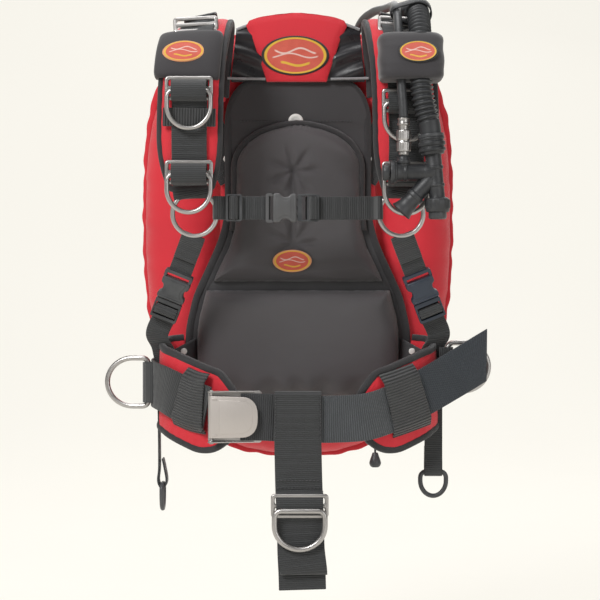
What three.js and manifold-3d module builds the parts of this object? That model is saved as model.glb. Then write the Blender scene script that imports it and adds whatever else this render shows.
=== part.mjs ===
// Diver's buoyancy compensator vest: a webbing harness on a padded back, with a ring-shaped air wing behind it.
// Millimetres. +X is the wearer's left, +Y the rear (tank side), +Z up. The origin is the neck point, midway
// between the crests of the two shoulder straps, where a hanger or the wearer's shoulders carry the vest.
import * as THREE from "three";
import { mergeVertices } from "three/addons/utils/BufferGeometryUtils.js";
import Module from "manifold-3d";

const wasm = await Module();
wasm.setup();

// ---------- Driving dimensions ----------
const GAP = 0.4; // running and lay-on clearance between neighbours
const WEB = 2.4; // thickness of harness webbing
const WIDE_WEB = 50.8; // waist belt, crotch strap and tank band
const SHOULDER_WEB = 38; // webbing on the shoulder pads
const NARROW_WEB = 25.4; // chest strap and side straps
const HANG_WEB = 20; // drop straps under the waistband
const TANK_RADIUS = 92; // a 184 mm cylinder

const wing = { y: 82, z: -235, width: 354, height: 486, tube: 46, depth: 36, wall: 2 };
const wingShape = { top: 4, foot: 2.8, taper: 0.06 }; // corner powers, and the share by which the foot narrows
const panel = { rear: 40, front: 36, top: -52, bottom: -413, neck: 79, hip: 123 };
const plate = { rear: 43.4, front: 40.4, half: 68, top: -80, bottom: -380 };
const ridge = { half: 22, rear: 54.8, top: -120, bottom: -232 };
const pad = { upperFront: 16, lumbarFront: 10, seam: -284, band: 5 };
const strap = { width: 66, thickness: 12, steps: 28, webGap: 3 };
const ring = { x: 112, y: -54, z: -206.5, radius: 24, wire: 2.5 };
const belt = { z: -428, y: -65.5 };
const buckle = { length: 58, width: 56, sheet: 1.5, wall: 9, pinHeight: 7.2, x: -68, y: belt.y + 3 };
const inflator = { y: -98, armZ: -165, tubeX: 143, nippleX: 112 };

// ---------- Materials ----------
function finish(colour, roughness, metalness = 0) {
  return new THREE.MeshStandardMaterial({ color: colour, roughness, metalness });
}
const redNylon = finish(0xd8202e, 0.75);
const blackNylon = finish(0x26262a, 0.7);
const padNylon = finish(0x444147, 0.6);
const webbing = finish(0x1d1f22, 0.8);
const steel = finish(0xc9c6c2, 0.28, 1);
const plastic = finish(0x1a1b1d, 0.45);
const rubber = finish(0x1b1c1e, 0.65);
const bladderFilm = finish(0xdadbd2, 0.5);

// ---------- Geometry helpers ----------
const v3 = (x, y, z) => new THREE.Vector3(x, y, z);
const X = v3(1, 0, 0);
const Y = v3(0, 1, 0);
const Z = v3(0, 0, 1);

// A geometry of positions only, with its shared vertices merged.
function bare(geometry) {
  geometry.deleteAttribute("normal");
  geometry.deleteAttribute("uv");
  return mergeVertices(geometry, 1e-3);
}

function solid(geometry) {
  const g = bare(geometry.clone());
  return new wasm.Manifold(
    new wasm.Mesh({ numProp: 3, vertProperties: g.attributes.position.array, triVerts: new Uint32Array(g.index.array) }),
  );
}

function geometryOf(manifold) {
  const mesh = manifold.getMesh();
  return new THREE.BufferGeometry()
    .setAttribute("position", new THREE.BufferAttribute(mesh.vertProperties, 3))
    .setIndex(new THREE.BufferAttribute(mesh.triVerts, 1));
}

// Joins the first list of geometries and cuts the second list out of them.
function build(joined, cut = []) {
  let made = solid(joined[0]);
  for (const g of joined.slice(1)) made = made.add(solid(g));
  for (const g of cut) made = made.subtract(solid(g));
  return geometryOf(made);
}

function box(x0, x1, y0, y1, z0, z1) {
  return new THREE.BoxGeometry(x1 - x0, y1 - y0, z1 - z0).translate((x0 + x1) / 2, (y0 + y1) / 2, (z0 + z1) / 2);
}

// A cylinder or cone frustum from point a to point b.
function rod(a, b, radius, endRadius = radius, sides = 14) {
  const along = b.clone().sub(a);
  const turn = new THREE.Quaternion().setFromUnitVectors(Y, along.clone().normalize());
  return new THREE.CylinderGeometry(endRadius, radius, along.length(), sides)
    .applyQuaternion(turn)
    .translate(...a.clone().add(b).multiplyScalar(0.5).toArray());
}

function routeThrough(points) {
  return new THREE.CatmullRomCurve3(points.map((p) => v3(...p)), false, "centripetal");
}

// The frame of a band at share t of its route: its centre, its width direction and its outward face.
function frameAt(route, across, t) {
  const along = route.getTangentAt(t);
  const wide = across(t);
  const side = wide.clone().addScaledVector(along, -wide.dot(along)).normalize();
  return { centre: route.getPointAt(t), side, face: along.cross(side) };
}

// A flat band swept along a route from share t0 to t1 of it, lifted off the route by lift along its face.
// The width is a number or a function of t.
function bandAlong(route, across, width, thickness, steps, lift = 0, t0 = 0, t1 = 1) {
  const g = new THREE.BoxGeometry(1, 1, 1, 1, 1, steps);
  const p = g.attributes.position;
  for (let i = 0; i < p.count; i++) {
    const t = t0 + ((t1 - t0) * Math.round((p.getZ(i) + 0.5) * steps)) / steps;
    const f = frameAt(route, across, t);
    f.centre.addScaledVector(f.face, lift);
    const wide = typeof width === "function" ? width(t) : width;
    const q = f.centre.addScaledVector(f.side, p.getX(i) * wide).addScaledVector(f.face, p.getY(i) * thickness);
    p.setXYZ(i, q.x, q.y, q.z);
  }
  return bare(g);
}

// A closed loop of oval section: the outline is a counter-clockwise closed curve in the XY plane.
function loopAlong(outline, halfWide, halfDeep, sides, steps) {
  const g = new THREE.TorusGeometry(10, 1, sides, steps);
  const p = g.attributes.position;
  for (let i = 0; i < p.count; i++) {
    const t = ((i % (steps + 1)) % steps) / steps;
    const turn = (Math.floor(i / (steps + 1)) / sides) * 2 * Math.PI;
    const at = outline.getPoint(t);
    const along = outline.getTangent(t);
    const out = halfWide * Math.cos(turn);
    p.setXYZ(i, at.x + along.y * out, at.y - along.x * out, halfDeep * Math.sin(turn));
  }
  return bare(g);
}

// A plate with its outline in the XZ plane, from y = rear forward to y = front, its edges bevelled.
function slab(shape, rear, front, bevel = 0, curveSegments = 6) {
  const depth = rear - front;
  return new THREE.ExtrudeGeometry(shape, {
    depth: depth - 2 * bevel,
    bevelEnabled: bevel > 0,
    bevelThickness: bevel,
    bevelSize: bevel,
    bevelOffset: -bevel,
    bevelSegments: 1,
    curveSegments,
  })
    .translate(0, 0, bevel)
    .rotateX(Math.PI / 2)
    .translate(0, rear, 0);
}

// ---------- Assembly ----------
const vest = new THREE.Group();

function add(name, geometry, material, parent = vest) {
  const mesh = new THREE.Mesh(geometry, material);
  mesh.name = name;
  parent.add(mesh);
  return mesh;
}
const sides = [
  ["left", 1],
  ["right", -1],
];

// ---------- Air wing: two shells sewn at the rim, with the bladder inside ----------
class WingOutline extends THREE.Curve {
  constructor(inset) {
    super();
    this.halfWide = wing.width / 2 - inset;
    this.halfHigh = wing.height / 2 - inset;
  }
  getPoint(t) {
    const turn = 2 * Math.PI * t;
    const rise = Math.sin(turn);
    const power = rise > 0 ? wingShape.top : wingShape.foot;
    const bend = (c) => Math.sign(c) * Math.abs(c) ** (2 / power);
    const narrow = 1 - wingShape.taper * Math.max(0, -bend(rise));
    return v3(this.halfWide * narrow * bend(Math.cos(turn)), this.halfHigh * bend(rise), 0);
  }
}

function wingTube(inset) {
  const path = new WingOutline(wing.tube);
  const even = new THREE.CatmullRomCurve3(path.getPoints(80).slice(0, -1), true);
  const evenPath = { getPoint: (t) => even.getPointAt(t % 1), getTangent: (t) => even.getTangentAt(t % 1) };
  return loopAlong(evenPath, wing.tube - inset, wing.depth - inset, 8, 40)
    .rotateX(Math.PI / 2)
    .translate(0, wing.y, wing.z);
}

// The fabric across the middle of the wing, with an opening for the tank ridge.
function wingCentre() {
  const path = new WingOutline(1.1 * wing.tube);
  const outline = path.getPoints(32).slice(0, -1).map((q) => new THREE.Vector2(q.x, q.y + wing.z));
  const front = wing.y - wing.depth - 0.2;
  const edge = ridge.half + 4;
  const opening = box(-edge, edge, front - 1, front + 3, ridge.bottom - 4, ridge.top + 4);
  return build([slab(new THREE.Shape(outline), front + 2, front)], [opening]);
}

// The hose port: a hole through the bladder's rear and the rear shell.
const port = { x: 95, z: -53, radius: 9 };

function addWing() {
  const far = 400;
  const bore = rod(v3(port.x, wing.y + 4, port.z), v3(port.x, wing.y + 40, port.z), port.radius);
  const hollow = solid(wingTube(0)).subtract(solid(wingTube(wing.wall)));
  const frontHalf = solid(box(-far, far, wing.y - far, wing.y - GAP / 2, wing.z - far, wing.z + far));
  const rearHalf = solid(box(-far, far, wing.y + GAP / 2, wing.y + far, wing.z - far, wing.z + far));
  const inside = solid(wingTube(wing.wall));
  const centre = solid(wingCentre()).subtract(inside);
  const front = hollow.intersect(frontHalf).add(centre);
  const pieces = front.decompose().sort((a, b) => b.volume() - a.volume());
  add("wing_front_shell", geometryOf(pieces[0]), redNylon);
  add("wing_rear_shell", geometryOf(hollow.intersect(rearHalf).subtract(solid(bore))), redNylon);
  const film = wing.wall + GAP;
  add("air_bladder", build([wingTube(film)], [wingTube(film + 1.2), bore]), bladderFilm);
}

// ---------- Back: panel, stiffening plate and the two pads ----------
// Half outlines are mirrored about the middle: each is a list of drawing calls for the wearer's left side.
function backOutline(inset) {
  const neck = panel.neck - inset;
  const hip = panel.hip - inset;
  const top = panel.top - inset;
  const foot = panel.bottom + inset;
  return new THREE.Shape()
    .moveTo(0, top).lineTo(-50, top).quadraticCurveTo(-neck, top, -neck, -98)
    .lineTo(-neck, -190).bezierCurveTo(-neck - 2, -252, -hip + 4, -278, -hip, -335)
    .lineTo(-hip, foot + 38).quadraticCurveTo(-hip, foot, -hip + 38, foot)
    .lineTo(hip - 38, foot).quadraticCurveTo(hip, foot, hip, foot + 38)
    .lineTo(hip, -335).bezierCurveTo(hip - 4, -278, neck + 2, -252, neck, -190)
    .lineTo(neck, -98).quadraticCurveTo(neck, top, 50, top).closePath();
}

function addBack() {
  add("back_panel", slab(backOutline(0), panel.rear, panel.front), blackNylon);

  const p = plate;
  const sheet = new THREE.Shape()
    .moveTo(-p.half + 20, p.bottom).lineTo(p.half - 20, p.bottom)
    .absarc(p.half - 20, p.bottom + 20, 20, -Math.PI / 2, 0, false).lineTo(p.half, p.top - 20)
    .absarc(p.half - 20, p.top - 20, 20, 0, Math.PI / 2, false).lineTo(-p.half + 20, p.top)
    .absarc(-p.half + 20, p.top - 20, 20, Math.PI / 2, Math.PI, false).lineTo(-p.half, p.bottom + 20)
    .absarc(-p.half + 20, p.bottom + 20, 20, Math.PI, 1.5 * Math.PI, false);
  const rib = box(-ridge.half, ridge.half, p.rear - 1, ridge.rear, ridge.bottom, ridge.top);
  const slots = [];
  for (const z of [-270, -330]) {
    for (const x of [-50, 50]) slots.push(box(x - 4, x + 4, p.front - 1, p.rear + 1, z - 27, z + 27));
  }
  add("back_plate", build([slab(sheet, p.rear, p.front, 0, 4), rib], slots), plastic);

  const inner = panel.neck - 8;
  const low = pad.seam + pad.band;
  const upper = new THREE.Shape()
    .moveTo(-96, low).lineTo(96, low).bezierCurveTo(88, -255, inner, -240, inner, -190)
    .lineTo(inner, -150).quadraticCurveTo(inner - 6, -106, 0, -104)
    .quadraticCurveTo(-inner + 6, -106, -inner, -150).lineTo(-inner, -190)
    .bezierCurveTo(-inner, -240, -88, -255, -96, low);
  add("upper_back_pad", slab(upper, panel.front - GAP, pad.upperFront, 5), padNylon);

  const high = pad.seam - pad.band;
  const hip = panel.hip - 9;
  const foot = panel.bottom + 3;
  const lumbar = new THREE.Shape()
    .moveTo(-hip + 40, foot).lineTo(hip - 40, foot).quadraticCurveTo(hip, foot, hip, foot + 40)
    .lineTo(hip, -335).quadraticCurveTo(hip - 2, -305, hip - 10, high)
    .lineTo(-hip + 10, high).quadraticCurveTo(-hip + 2, -305, -hip, -335)
    .lineTo(-hip, foot + 40).quadraticCurveTo(-hip, foot, -hip + 40, foot);
  add("lumbar_pad", slab(lumbar, panel.front - GAP, pad.lumbarFront, 6), padNylon);

  const collar = new THREE.Shape()
    .moveTo(-76, panel.top + GAP).lineTo(76, panel.top + GAP).lineTo(70, 8)
    .quadraticCurveTo(40, 24, 0, 25).quadraticCurveTo(-40, 24, -70, 8).closePath();
  add("collar_yoke", slab(collar, panel.rear, panel.front - 4, 3), redNylon);
}

// ---------- Shoulder straps ----------
const CREST_ROLL = 0.22; // radians by which the crest slopes down towards the shoulder's outer edge

// The pad's centre line, from its root behind the wearer's shoulder, over the crest and down the chest.
function shoulderRoute(s) {
  return routeThrough([
    [s * 114.5, 35, -72], [s * 112, 34, -34], [s * 108, 22, -8], [s * 106, 2, 2], [s * 108, -22, -5],
    [s * 111, -40, -20], [s * 114, -52, -42], [s * 116, -58, -75], [s * 117, -60, -130], [s * 116, -56, -176],
  ]);
}

function shoulderAcross(s) {
  return (t) => {
    const roll = CREST_ROLL * Math.exp(-(((t - 0.34) / 0.24) ** 2));
    return v3(Math.cos(roll), 0, -s * Math.sin(roll));
  };
}

// The pad tapers over its last quarter to the ring.
function padWidth(t) {
  return strap.width * (t < 0.82 ? 1 : 1 - 0.28 * ((t - 0.82) / 0.18) ** 2);
}

// Closed outlines of wire hardware, drawn counter-clockwise with the straight bar on top.
function dOutline(width, depth, corner = 7) {
  const half = width / 2;
  const bow = depth * 0.62;
  return new THREE.Path()
    .moveTo(half - corner, 0).lineTo(-half + corner, 0)
    .absarc(-half + corner, -corner, corner, Math.PI / 2, Math.PI, false)
    .lineTo(-half, bow - depth).absellipse(0, bow - depth, half, bow, Math.PI, 2 * Math.PI, false)
    .lineTo(half, -corner).absarc(half - corner, -corner, corner, 0, Math.PI / 2, false);
}

// A D-ring standing in the XZ plane: bar along X at the origin, bow hanging down.
function dRing(outerWidth, depth, wire, steps = 24) {
  return loopAlong(dOutline(outerWidth - 2 * wire, depth - wire), wire, wire, 6, steps).rotateX(Math.PI / 2);
}

// A three-bar slide in the XZ plane, centred on the origin.
function threeBarSlide(width, height, bar) {
  const w = width / 2;
  const h = height / 2;
  const shape = new THREE.Shape()
    .moveTo(-w + 4, -h).lineTo(w - 4, -h).quadraticCurveTo(w, -h, w, -h + 4).lineTo(w, h - 4)
    .quadraticCurveTo(w, h, w - 4, h).lineTo(-w + 4, h).quadraticCurveTo(-w, h, -w, h - 4)
    .lineTo(-w, -h + 4).quadraticCurveTo(-w, -h, -w + 4, -h);
  const gap = (height - 3 * bar) / 2;
  const slots = [-1, 1].map((side) => {
    const z = side * (bar + gap) / 2;
    return box(bar - w, w - bar, -bar, bar, z - gap / 2, z + gap / 2);
  });
  return build([slab(shape, bar / 2, -bar / 2, 0, 2)], slots);
}

const slideSize = { width: 51, height: 26, bar: 4.5 };
const shoulderD = { width: 52, depth: 43, wire: 2.5 };
const shoulderRings = {
  left: [["upper", 0.699, 116], ["lower", 0.96, 116]],
  right: [["upper", 0.654, -117], ["lower", 0.955, -117]],
};

function addShoulders() {
  for (const [name, s] of sides) {
    const route = shoulderRoute(s);
    const across = shoulderAcross(s);
    add(`shoulder_pad_${name}`, bandAlong(route, across, padWidth, strap.thickness, strap.steps), redNylon);
    const lift = (strap.thickness + WEB) / 2 + strap.webGap;
    const web = bandAlong(route, across, SHOULDER_WEB, WEB, strap.steps - 6, lift, 6 / strap.steps);
    add(`shoulder_web_${name}`, web, webbing);
    for (const [level, t, x] of shoulderRings[name]) {
      const at = frameAt(route, across, t);
      const slideY = at.centre.y - strap.thickness / 2 - strap.webGap - WEB - 5 * GAP - slideSize.bar / 2;
      const slide = threeBarSlide(slideSize.width, slideSize.height, slideSize.bar);
      add(`${level}_slide_${name}`, slide, steel).position.set(x, slideY, at.centre.z);
      const barY = slideY - slideSize.bar / 2 - shoulderD.wire - GAP;
      const d = dRing(shoulderD.width, shoulderD.depth, shoulderD.wire);
      add(`${level}_dring_${name}`, d, steel).position.set(x, barY, at.centre.z - 3);
    }
    const loop = new THREE.TorusGeometry(ring.radius, ring.wire, 6, 28).rotateX(Math.PI / 2);
    add(`harness_ring_${name}`, bare(loop), steel).position.set(s * ring.x, ring.y, ring.z);
  }
}

// ---------- Side-release buckles ----------
// Local frame: +X from the female half to the male half, Y through the thickness, Z across. The halves meet at x = 0.
const clip = { length: 34, thick: 10, width: 32, mouth: 23, reach: 18, ladder: 24, travel: 20 };

function clipFemale() {
  const w = clip.width / 2;
  const body = new THREE.Shape()
    .moveTo(-clip.length, -w + 2).lineTo(-clip.length + 3, -w).lineTo(-3, -w).lineTo(0, -w + 2)
    .lineTo(0, w - 2).lineTo(-3, w).lineTo(-clip.length + 3, w).lineTo(-clip.length, w - 2).closePath();
  const mouth = clip.mouth / 2;
  return build(
    [slab(body, clip.thick / 2, -clip.thick / 2)],
    [
      box(-clip.reach - 4, 1, -2.9, 2.9, -mouth, mouth), // cavity for the prongs
      box(-17, -8, -2.9, 2.9, -w - 1, w + 1), // release windows in both sides
      box(-31, -26.5, -clip.thick, clip.thick, -13.2, 13.2), // webbing slot
    ],
  );
}

function clipMale() {
  const prong = 2.3;
  const w = clip.width / 2 - 1;
  const arm = clip.mouth / 2 - 0.5;
  return build(
    [
      box(0.5, clip.ladder, -3, 3, -w, w),
      box(-clip.reach, 1, -prong, prong, -2.4, 2.4),
      box(-clip.reach + 2, 1, -prong, prong, arm - 3.4, arm),
      box(-clip.reach + 2, 1, -prong, prong, -arm, 3.4 - arm),
    ],
    [box(6, 11, -9, 9, -13.2, 13.2), box(15, 20, -9, 9, -13.2, 13.2)],
  );
}

// A group whose local X points along a side strap and whose -Y faces forward.
function strapFrame(origin, along) {
  const x = along.clone().normalize();
  const y = Y.clone().addScaledVector(x, -Y.dot(x)).normalize();
  const group = new THREE.Group();
  group.quaternion.setFromRotationMatrix(new THREE.Matrix4().makeBasis(x, y, x.clone().cross(y)));
  group.position.copy(origin);
  vest.add(group);
  return group;
}

function addChestStrap() {
  const y = -50;
  const z = -200;
  const female = strapFrame(v3(-1, y, z), X);
  add("chest_clip_female", clipFemale(), plastic, female);
  add("chest_clip_male", clipMale(), plastic, female);
  const end = ring.x - ring.radius - ring.wire - GAP;
  const rightEnd = -1 - clip.length - GAP;
  add("chest_web_right", box(-end, rightEnd, y - WEB / 2, y + WEB / 2, z - NARROW_WEB / 2, z + NARROW_WEB / 2), webbing);
  const behind = y + 3 + GAP;
  add("chest_web_left", box(4, end, behind, behind + WEB, z - NARROW_WEB / 2, z + NARROW_WEB / 2), webbing);
}

// ---------- Side straps, waistband and waist belt ----------
const sideStrap = { top: [113, -50, -230], clip: [141.2, -26.1, -300] };

function sideAlong(s) {
  return v3(s * (sideStrap.clip[0] - sideStrap.top[0]), sideStrap.clip[1] - sideStrap.top[1],
    sideStrap.clip[2] - sideStrap.top[2]).normalize();
}

function addSideStraps() {
  for (const [name, s] of sides) {
    const along = sideAlong(s);
    const origin = v3(s * sideStrap.clip[0], sideStrap.clip[1], sideStrap.clip[2]);
    const group = strapFrame(origin, along);
    add(`side_clip_female_${name}`, clipFemale(), plastic, group);
    add(`side_clip_male_${name}`, clipMale(), plastic, group);
    const length = v3(s * sideStrap.top[0], sideStrap.top[1], sideStrap.top[2]).distanceTo(origin);
    const web = box(-length + 4, -clip.length - GAP, -WEB / 2, WEB / 2, -NARROW_WEB / 2, NARROW_WEB / 2);
    add(`side_web_${name}`, web, webbing, group);
  }
}

function waistRoute(s) {
  return routeThrough([
    [s * 126, 40, -385], [s * 142, 34, -387], [s * 149, 18, -391], [s * 149, -3, -397], [s * 136, -20, -405],
    [s * 112, -36, -416], [s * 92, -46, -423], [s * 74, -54, -427],
  ]);
}

// The waistband narrows to a rounded tip.
function waistWidth(t) {
  const tip = Math.max(0, (t - 0.8) / 0.2);
  return 90 - 4 * (1 - t) - 34 * tip * tip;
}

function addWaistband() {
  for (const [name, s] of sides) {
    const along = sideAlong(s);
    const clipAt = v3(s * sideStrap.clip[0], sideStrap.clip[1], sideStrap.clip[2]);
    const back = Y.clone().addScaledVector(along, -Y.dot(along)).normalize();
    const across = along.clone().cross(back);
    const at = (d) => clipAt.clone().addScaledVector(along, d).addScaledVector(back, 4 + GAP + WEB / 2);
    const wrap = bandAlong(waistRoute(s), () => Z, waistWidth, 9, 20);
    // The side strap's tail runs up behind the male clip, and its foot is sewn into the waistband.
    const tail = routeThrough([at(5).toArray(), at(24).toArray(), at(46).toArray(), [s * 151, 3, -355], [s * 147, 6, -371]]);
    const tailWeb = bandAlong(tail, () => across, NARROW_WEB, WEB, 8);
    // The drop strap under the waistband: the left one faces forward, the right one sideways.
    const drop = s > 0 ? -489 : -503;
    const foot = v3(s * 151.5, 6, -425);
    const hang = box(-HANG_WEB / 2, HANG_WEB / 2, -WEB / 2, WEB / 2, drop - foot.z, 0);
    if (s < 0) hang.rotateZ(Math.PI / 2);
    hang.translate(...foot.toArray());
    add(`waistband_${name}`, build([wrap, tailWeb, hang]), redNylon);

    const d = dRing(34, 30, 2.6, 22);
    if (s < 0) d.rotateZ(Math.PI / 2);
    add(`drop_dring_${name}`, d, plastic).position.set(foot.x, foot.y, drop - GAP - 2.6);

    const dz = s > 0 ? -375 : -392;
    const side = dRing(60, 50, 3).rotateY(-s * Math.PI / 2).rotateZ(s * 0.12);
    add(`waist_dring_${name}`, side, steel).position.set(s * 167.5, 6, dz);
  }
}

// The belt's two webs. The left one passes through the buckle and ends in the free tail.
function addBelt() {
  const left = routeThrough([
    [-62, belt.y, -426], [-39, belt.y, -426.3], [0, belt.y, belt.z], [40, belt.y, -428.5], [75, -62.5, -426],
    [100, -51.5, -419], [118, -42.5, -411], [137, -34.5, -402], [172, -21, -383], [210, -9, -361],
  ]);
  add("waist_web_left", bandAlong(left, () => Z, WIDE_WEB, WEB, 24), webbing);
  const right = routeThrough([
    [-161.8, 16, -390], [-161.8, -4, -393], [-144, -26.5, -400], [-118, -42.5, -413], [-110, -48, -416],
    [-104, -54.5, -417],
  ]);
  add("waist_web_right", bandAlong(right, () => Z, WIDE_WEB, WEB, 14), webbing);
}

// ---------- Lever buckles: a folded frame, a pin and a lever that pinches the web ----------
// Local frame: web along X, Y outwards from the frame's back, Z across; the pin stands near x = +length / 2.
function leverFrame() {
  const l = buckle.length / 2;
  const w = buckle.width / 2;
  const t = buckle.sheet;
  const pinX = l - 4;
  return build(
    [
      box(-l, l, 0, t, -w, w),
      box(-l + 8, l, 0, buckle.wall, w - t, w),
      box(-l + 8, l, 0, buckle.wall, -w, -w + t),
      rod(v3(pinX, buckle.pinHeight, -w + 0.2), v3(pinX, buckle.pinHeight, w - 0.2), 1.2, 1.2, 12),
    ],
    [box(-l + 12, l - 14, -1, t + 1, -w + 8, w - 8)],
  );
}

// The lever, with its knuckle round the pin at the local origin.
function leverPlate() {
  const w = buckle.width / 2 - 5;
  const length = 50;
  const outline = new THREE.Shape()
    .moveTo(0, -w).lineTo(-length + 16, -w + 1).quadraticCurveTo(-length, -w + 3, -length, 0)
    .quadraticCurveTo(-length, w - 3, -length + 16, w - 1).lineTo(0, w).closePath();
  const skin = slab(outline, 4.2, 2.3, 0, 6);
  const knuckle = rod(v3(0, 0, -w), v3(0, 0, w), 2.6, 2.6, 14);
  const bore = rod(v3(0, 0, -w - 1), v3(0, 0, w + 1), 1.2 + GAP, 1.2 + GAP, 12);
  return build([skin, knuckle, box(-1.5, 1.5, 1.6, 2.5, -w, w)], [bore]);
}

function addLeverBuckle(prefix, origin, turn) {
  const group = new THREE.Group();
  group.position.copy(origin);
  group.rotation.z = turn;
  vest.add(group);
  add(`${prefix}_frame`, leverFrame(), steel, group);
  const lever = add(`${prefix}_lever`, leverPlate(), steel, group);
  lever.position.set(buckle.length / 2 - 4, buckle.pinHeight, 0);
}

// ---------- Crotch strap ----------
const crotch = { top: -399, hinge: -461, foot: -612, y: belt.y - 4, slide: -521 };

function addCrotchStrap() {
  const half = WIDE_WEB / 2;
  const loop = build(
    [box(-half, half, belt.y - 5, belt.y + 5, crotch.hinge + 2.4, crotch.top)],
    [box(-half - 1, half + 1, belt.y - 2.6, belt.y + 2.6, belt.z - half - 2.5, belt.z + half + 2.5)],
  );
  add("crotch_loop", loop, webbing);
  const route = routeThrough([
    [0, crotch.y, crotch.hinge - 3], [1, crotch.y, -500], [3, crotch.y, -560], [5, crotch.y - 1, crotch.foot],
  ]);
  add("crotch_strap", bandAlong(route, () => X, WIDE_WEB, 5, 6), webbing);
  const slideY = crotch.y - 2.5 - 2 * GAP - slideSize.bar / 2;
  add("crotch_slide", threeBarSlide(62, 26, slideSize.bar), steel).position.set(2, slideY, crotch.slide);
  const barY = slideY - slideSize.bar / 2 - 3 - GAP;
  add("crotch_dring", dRing(60, 44, 3), steel).position.set(2, barY, crotch.slide - 5);
}

// ---------- Hoses and power inflator ----------
function hose(route, radius, segments, steps) {
  const circle = new THREE.Shape();
  for (let i = 0; i < segments; i++) {
    const turn = (i / segments) * 2 * Math.PI;
    if (i) circle.lineTo(radius * Math.cos(turn), radius * Math.sin(turn));
    else circle.moveTo(radius, 0);
  }
  circle.closePath();
  return bare(new THREE.ExtrudeGeometry(circle, { steps, extrudePath: route, bevelEnabled: false }));
}

// Corrugated hose: from the wing's elbow over the wing and the shoulder strap to the inflator.
const breathingRoute = [
  [95, 134, -22], [95, 134, -13], [98, 130, 2], [106, 114, 18], [117, 84, 26], [125, 44, 25], [130, 2, 22],
  [131, -42, 14], [131, -75, -14], [130, -92, -50], [132, -98, -82], [136, inflator.y, -101],
  [139.4, inflator.y, -114], [141, inflator.y, -128],
];
// Low-pressure hose: from the inflator's coupling over the strap, down behind the wing to its port fitting.
const supplyRoute = [
  [inflator.nippleX, inflator.y, -106.5], [111.6, inflator.y, -96], [110.5, -97, -82], [108.5, -92, -52], [108, -74, -14], [108, -47, 13],
  [107, -18, 26], [106, 8, 30], [99, 38, 32], [87, 72, 34], [74, 106, 27], [66, 128, 4], [63, 134, -32],
  [61.5, 134.5, -80], [61, 134.5, -130], [61, 134.5, -176],
];

function addHoses() {
  add("corrugated_hose", hose(routeThrough(breathingRoute), 12.5, 10, 30), rubber);
  add("supply_hose", hose(routeThrough(supplyRoute), 5, 8, 42), rubber);
  const end = v3(...supplyRoute[supplyRoute.length - 1]);
  const down = (d) => end.clone().addScaledVector(Z, -d);
  const fitting = build([
    rod(down(GAP), down(14), 6.2), rod(down(13), down(19), 8, 8, 6), rod(down(18), down(29), 4.7),
  ]);
  add("supply_fitting", fitting, steel);
  const elbowX = port.x;
  const elbowZ = port.z;
  const rear = wing.y + wing.depth + GAP;
  const elbow = build([
    rod(v3(elbowX, rear, elbowZ), v3(elbowX, rear + 4, elbowZ), 20, 20, 24),
    rod(v3(elbowX, rear + 3, elbowZ), v3(elbowX, rear + 27, elbowZ), 12.4),
    rod(v3(elbowX, 134, elbowZ), v3(elbowX, 134, -22 - GAP), 12),
  ]);
  add("hose_elbow", elbow, plastic);
}

function addInflator() {
  const { y, armZ, tubeX, nippleX } = inflator;
  const body = build([
    rod(v3(141, y, -128 - GAP), v3(tubeX, y, -146), 14, 13), // cuff and clamp under the hose
    rod(v3(tubeX, y, -144), v3(tubeX + 5, y, -196), 8.5), // main tube
    rod(v3(98, y, armZ), v3(tubeX, y, armZ), 8.5), // arm
    rod(v3(98, y, armZ), v3(103, y, armZ), 12.5), // button collar
    rod(v3(nippleX, y, armZ), v3(nippleX, y, -148), 6.2), // nipple socket
    rod(v3(nippleX, y, -149), v3(nippleX, y, -122), 3.5, 3.5, 12), // nipple
    rod(v3(tubeX + 4.8, y, -192), v3(tubeX + 5, y, -207), 13), // exhaust housing
    rod(v3(tubeX - 2, y, -172), v3(116, y, -199), 8.5), // branch to the mouthpiece
    rod(v3(117.5, y, -197.4), v3(109, y, -206.5), 10, 12), // mouthpiece
  ], [
    rod(v3(108, y, -208), v3(115, y, -200), 9, 7.5), // mouthpiece's mouth
    rod(v3(tubeX + 5, y, -199), v3(tubeX + 5, y, -209), 10.4), // seat of the exhaust button
    rod(v3(96, y, armZ), v3(101, y, armZ), 9.4), // seat of the inflate button
  ]);
  add("inflator_body", body, plastic);
  add("inflate_button", rod(v3(89.5, y, armZ), v3(96.4, y, armZ), 8.8), plastic);
  add("exhaust_button", rod(v3(tubeX + 5, y, -203.4), v3(tubeX + 5, y, -214.5), 9.6), plastic);
  const core = build(
    [
      rod(v3(nippleX, y, -146.4), v3(nippleX, y, -112), 5.2),
      rod(v3(nippleX, y, -115), v3(nippleX, y, -107.5 + GAP), 6.4, 6.4, 6),
    ],
    [rod(v3(nippleX, y, -148), v3(nippleX, y, -121), 4)],
  );
  add("supply_coupling", core, steel);
  const sleeve = build(
    [rod(v3(nippleX, y, -143), v3(nippleX, y, -120), 7.6)],
    [rod(v3(nippleX, y, -144), v3(nippleX, y, -119), 5.2 + GAP)],
  );
  add("coupling_sleeve", sleeve, steel);
}

// ---------- Dump valve ----------
const valve = { x: 88, y: 34, z: -434, radius: 20, nozzle: -462, cordTop: -442, knob: -474 };

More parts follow.
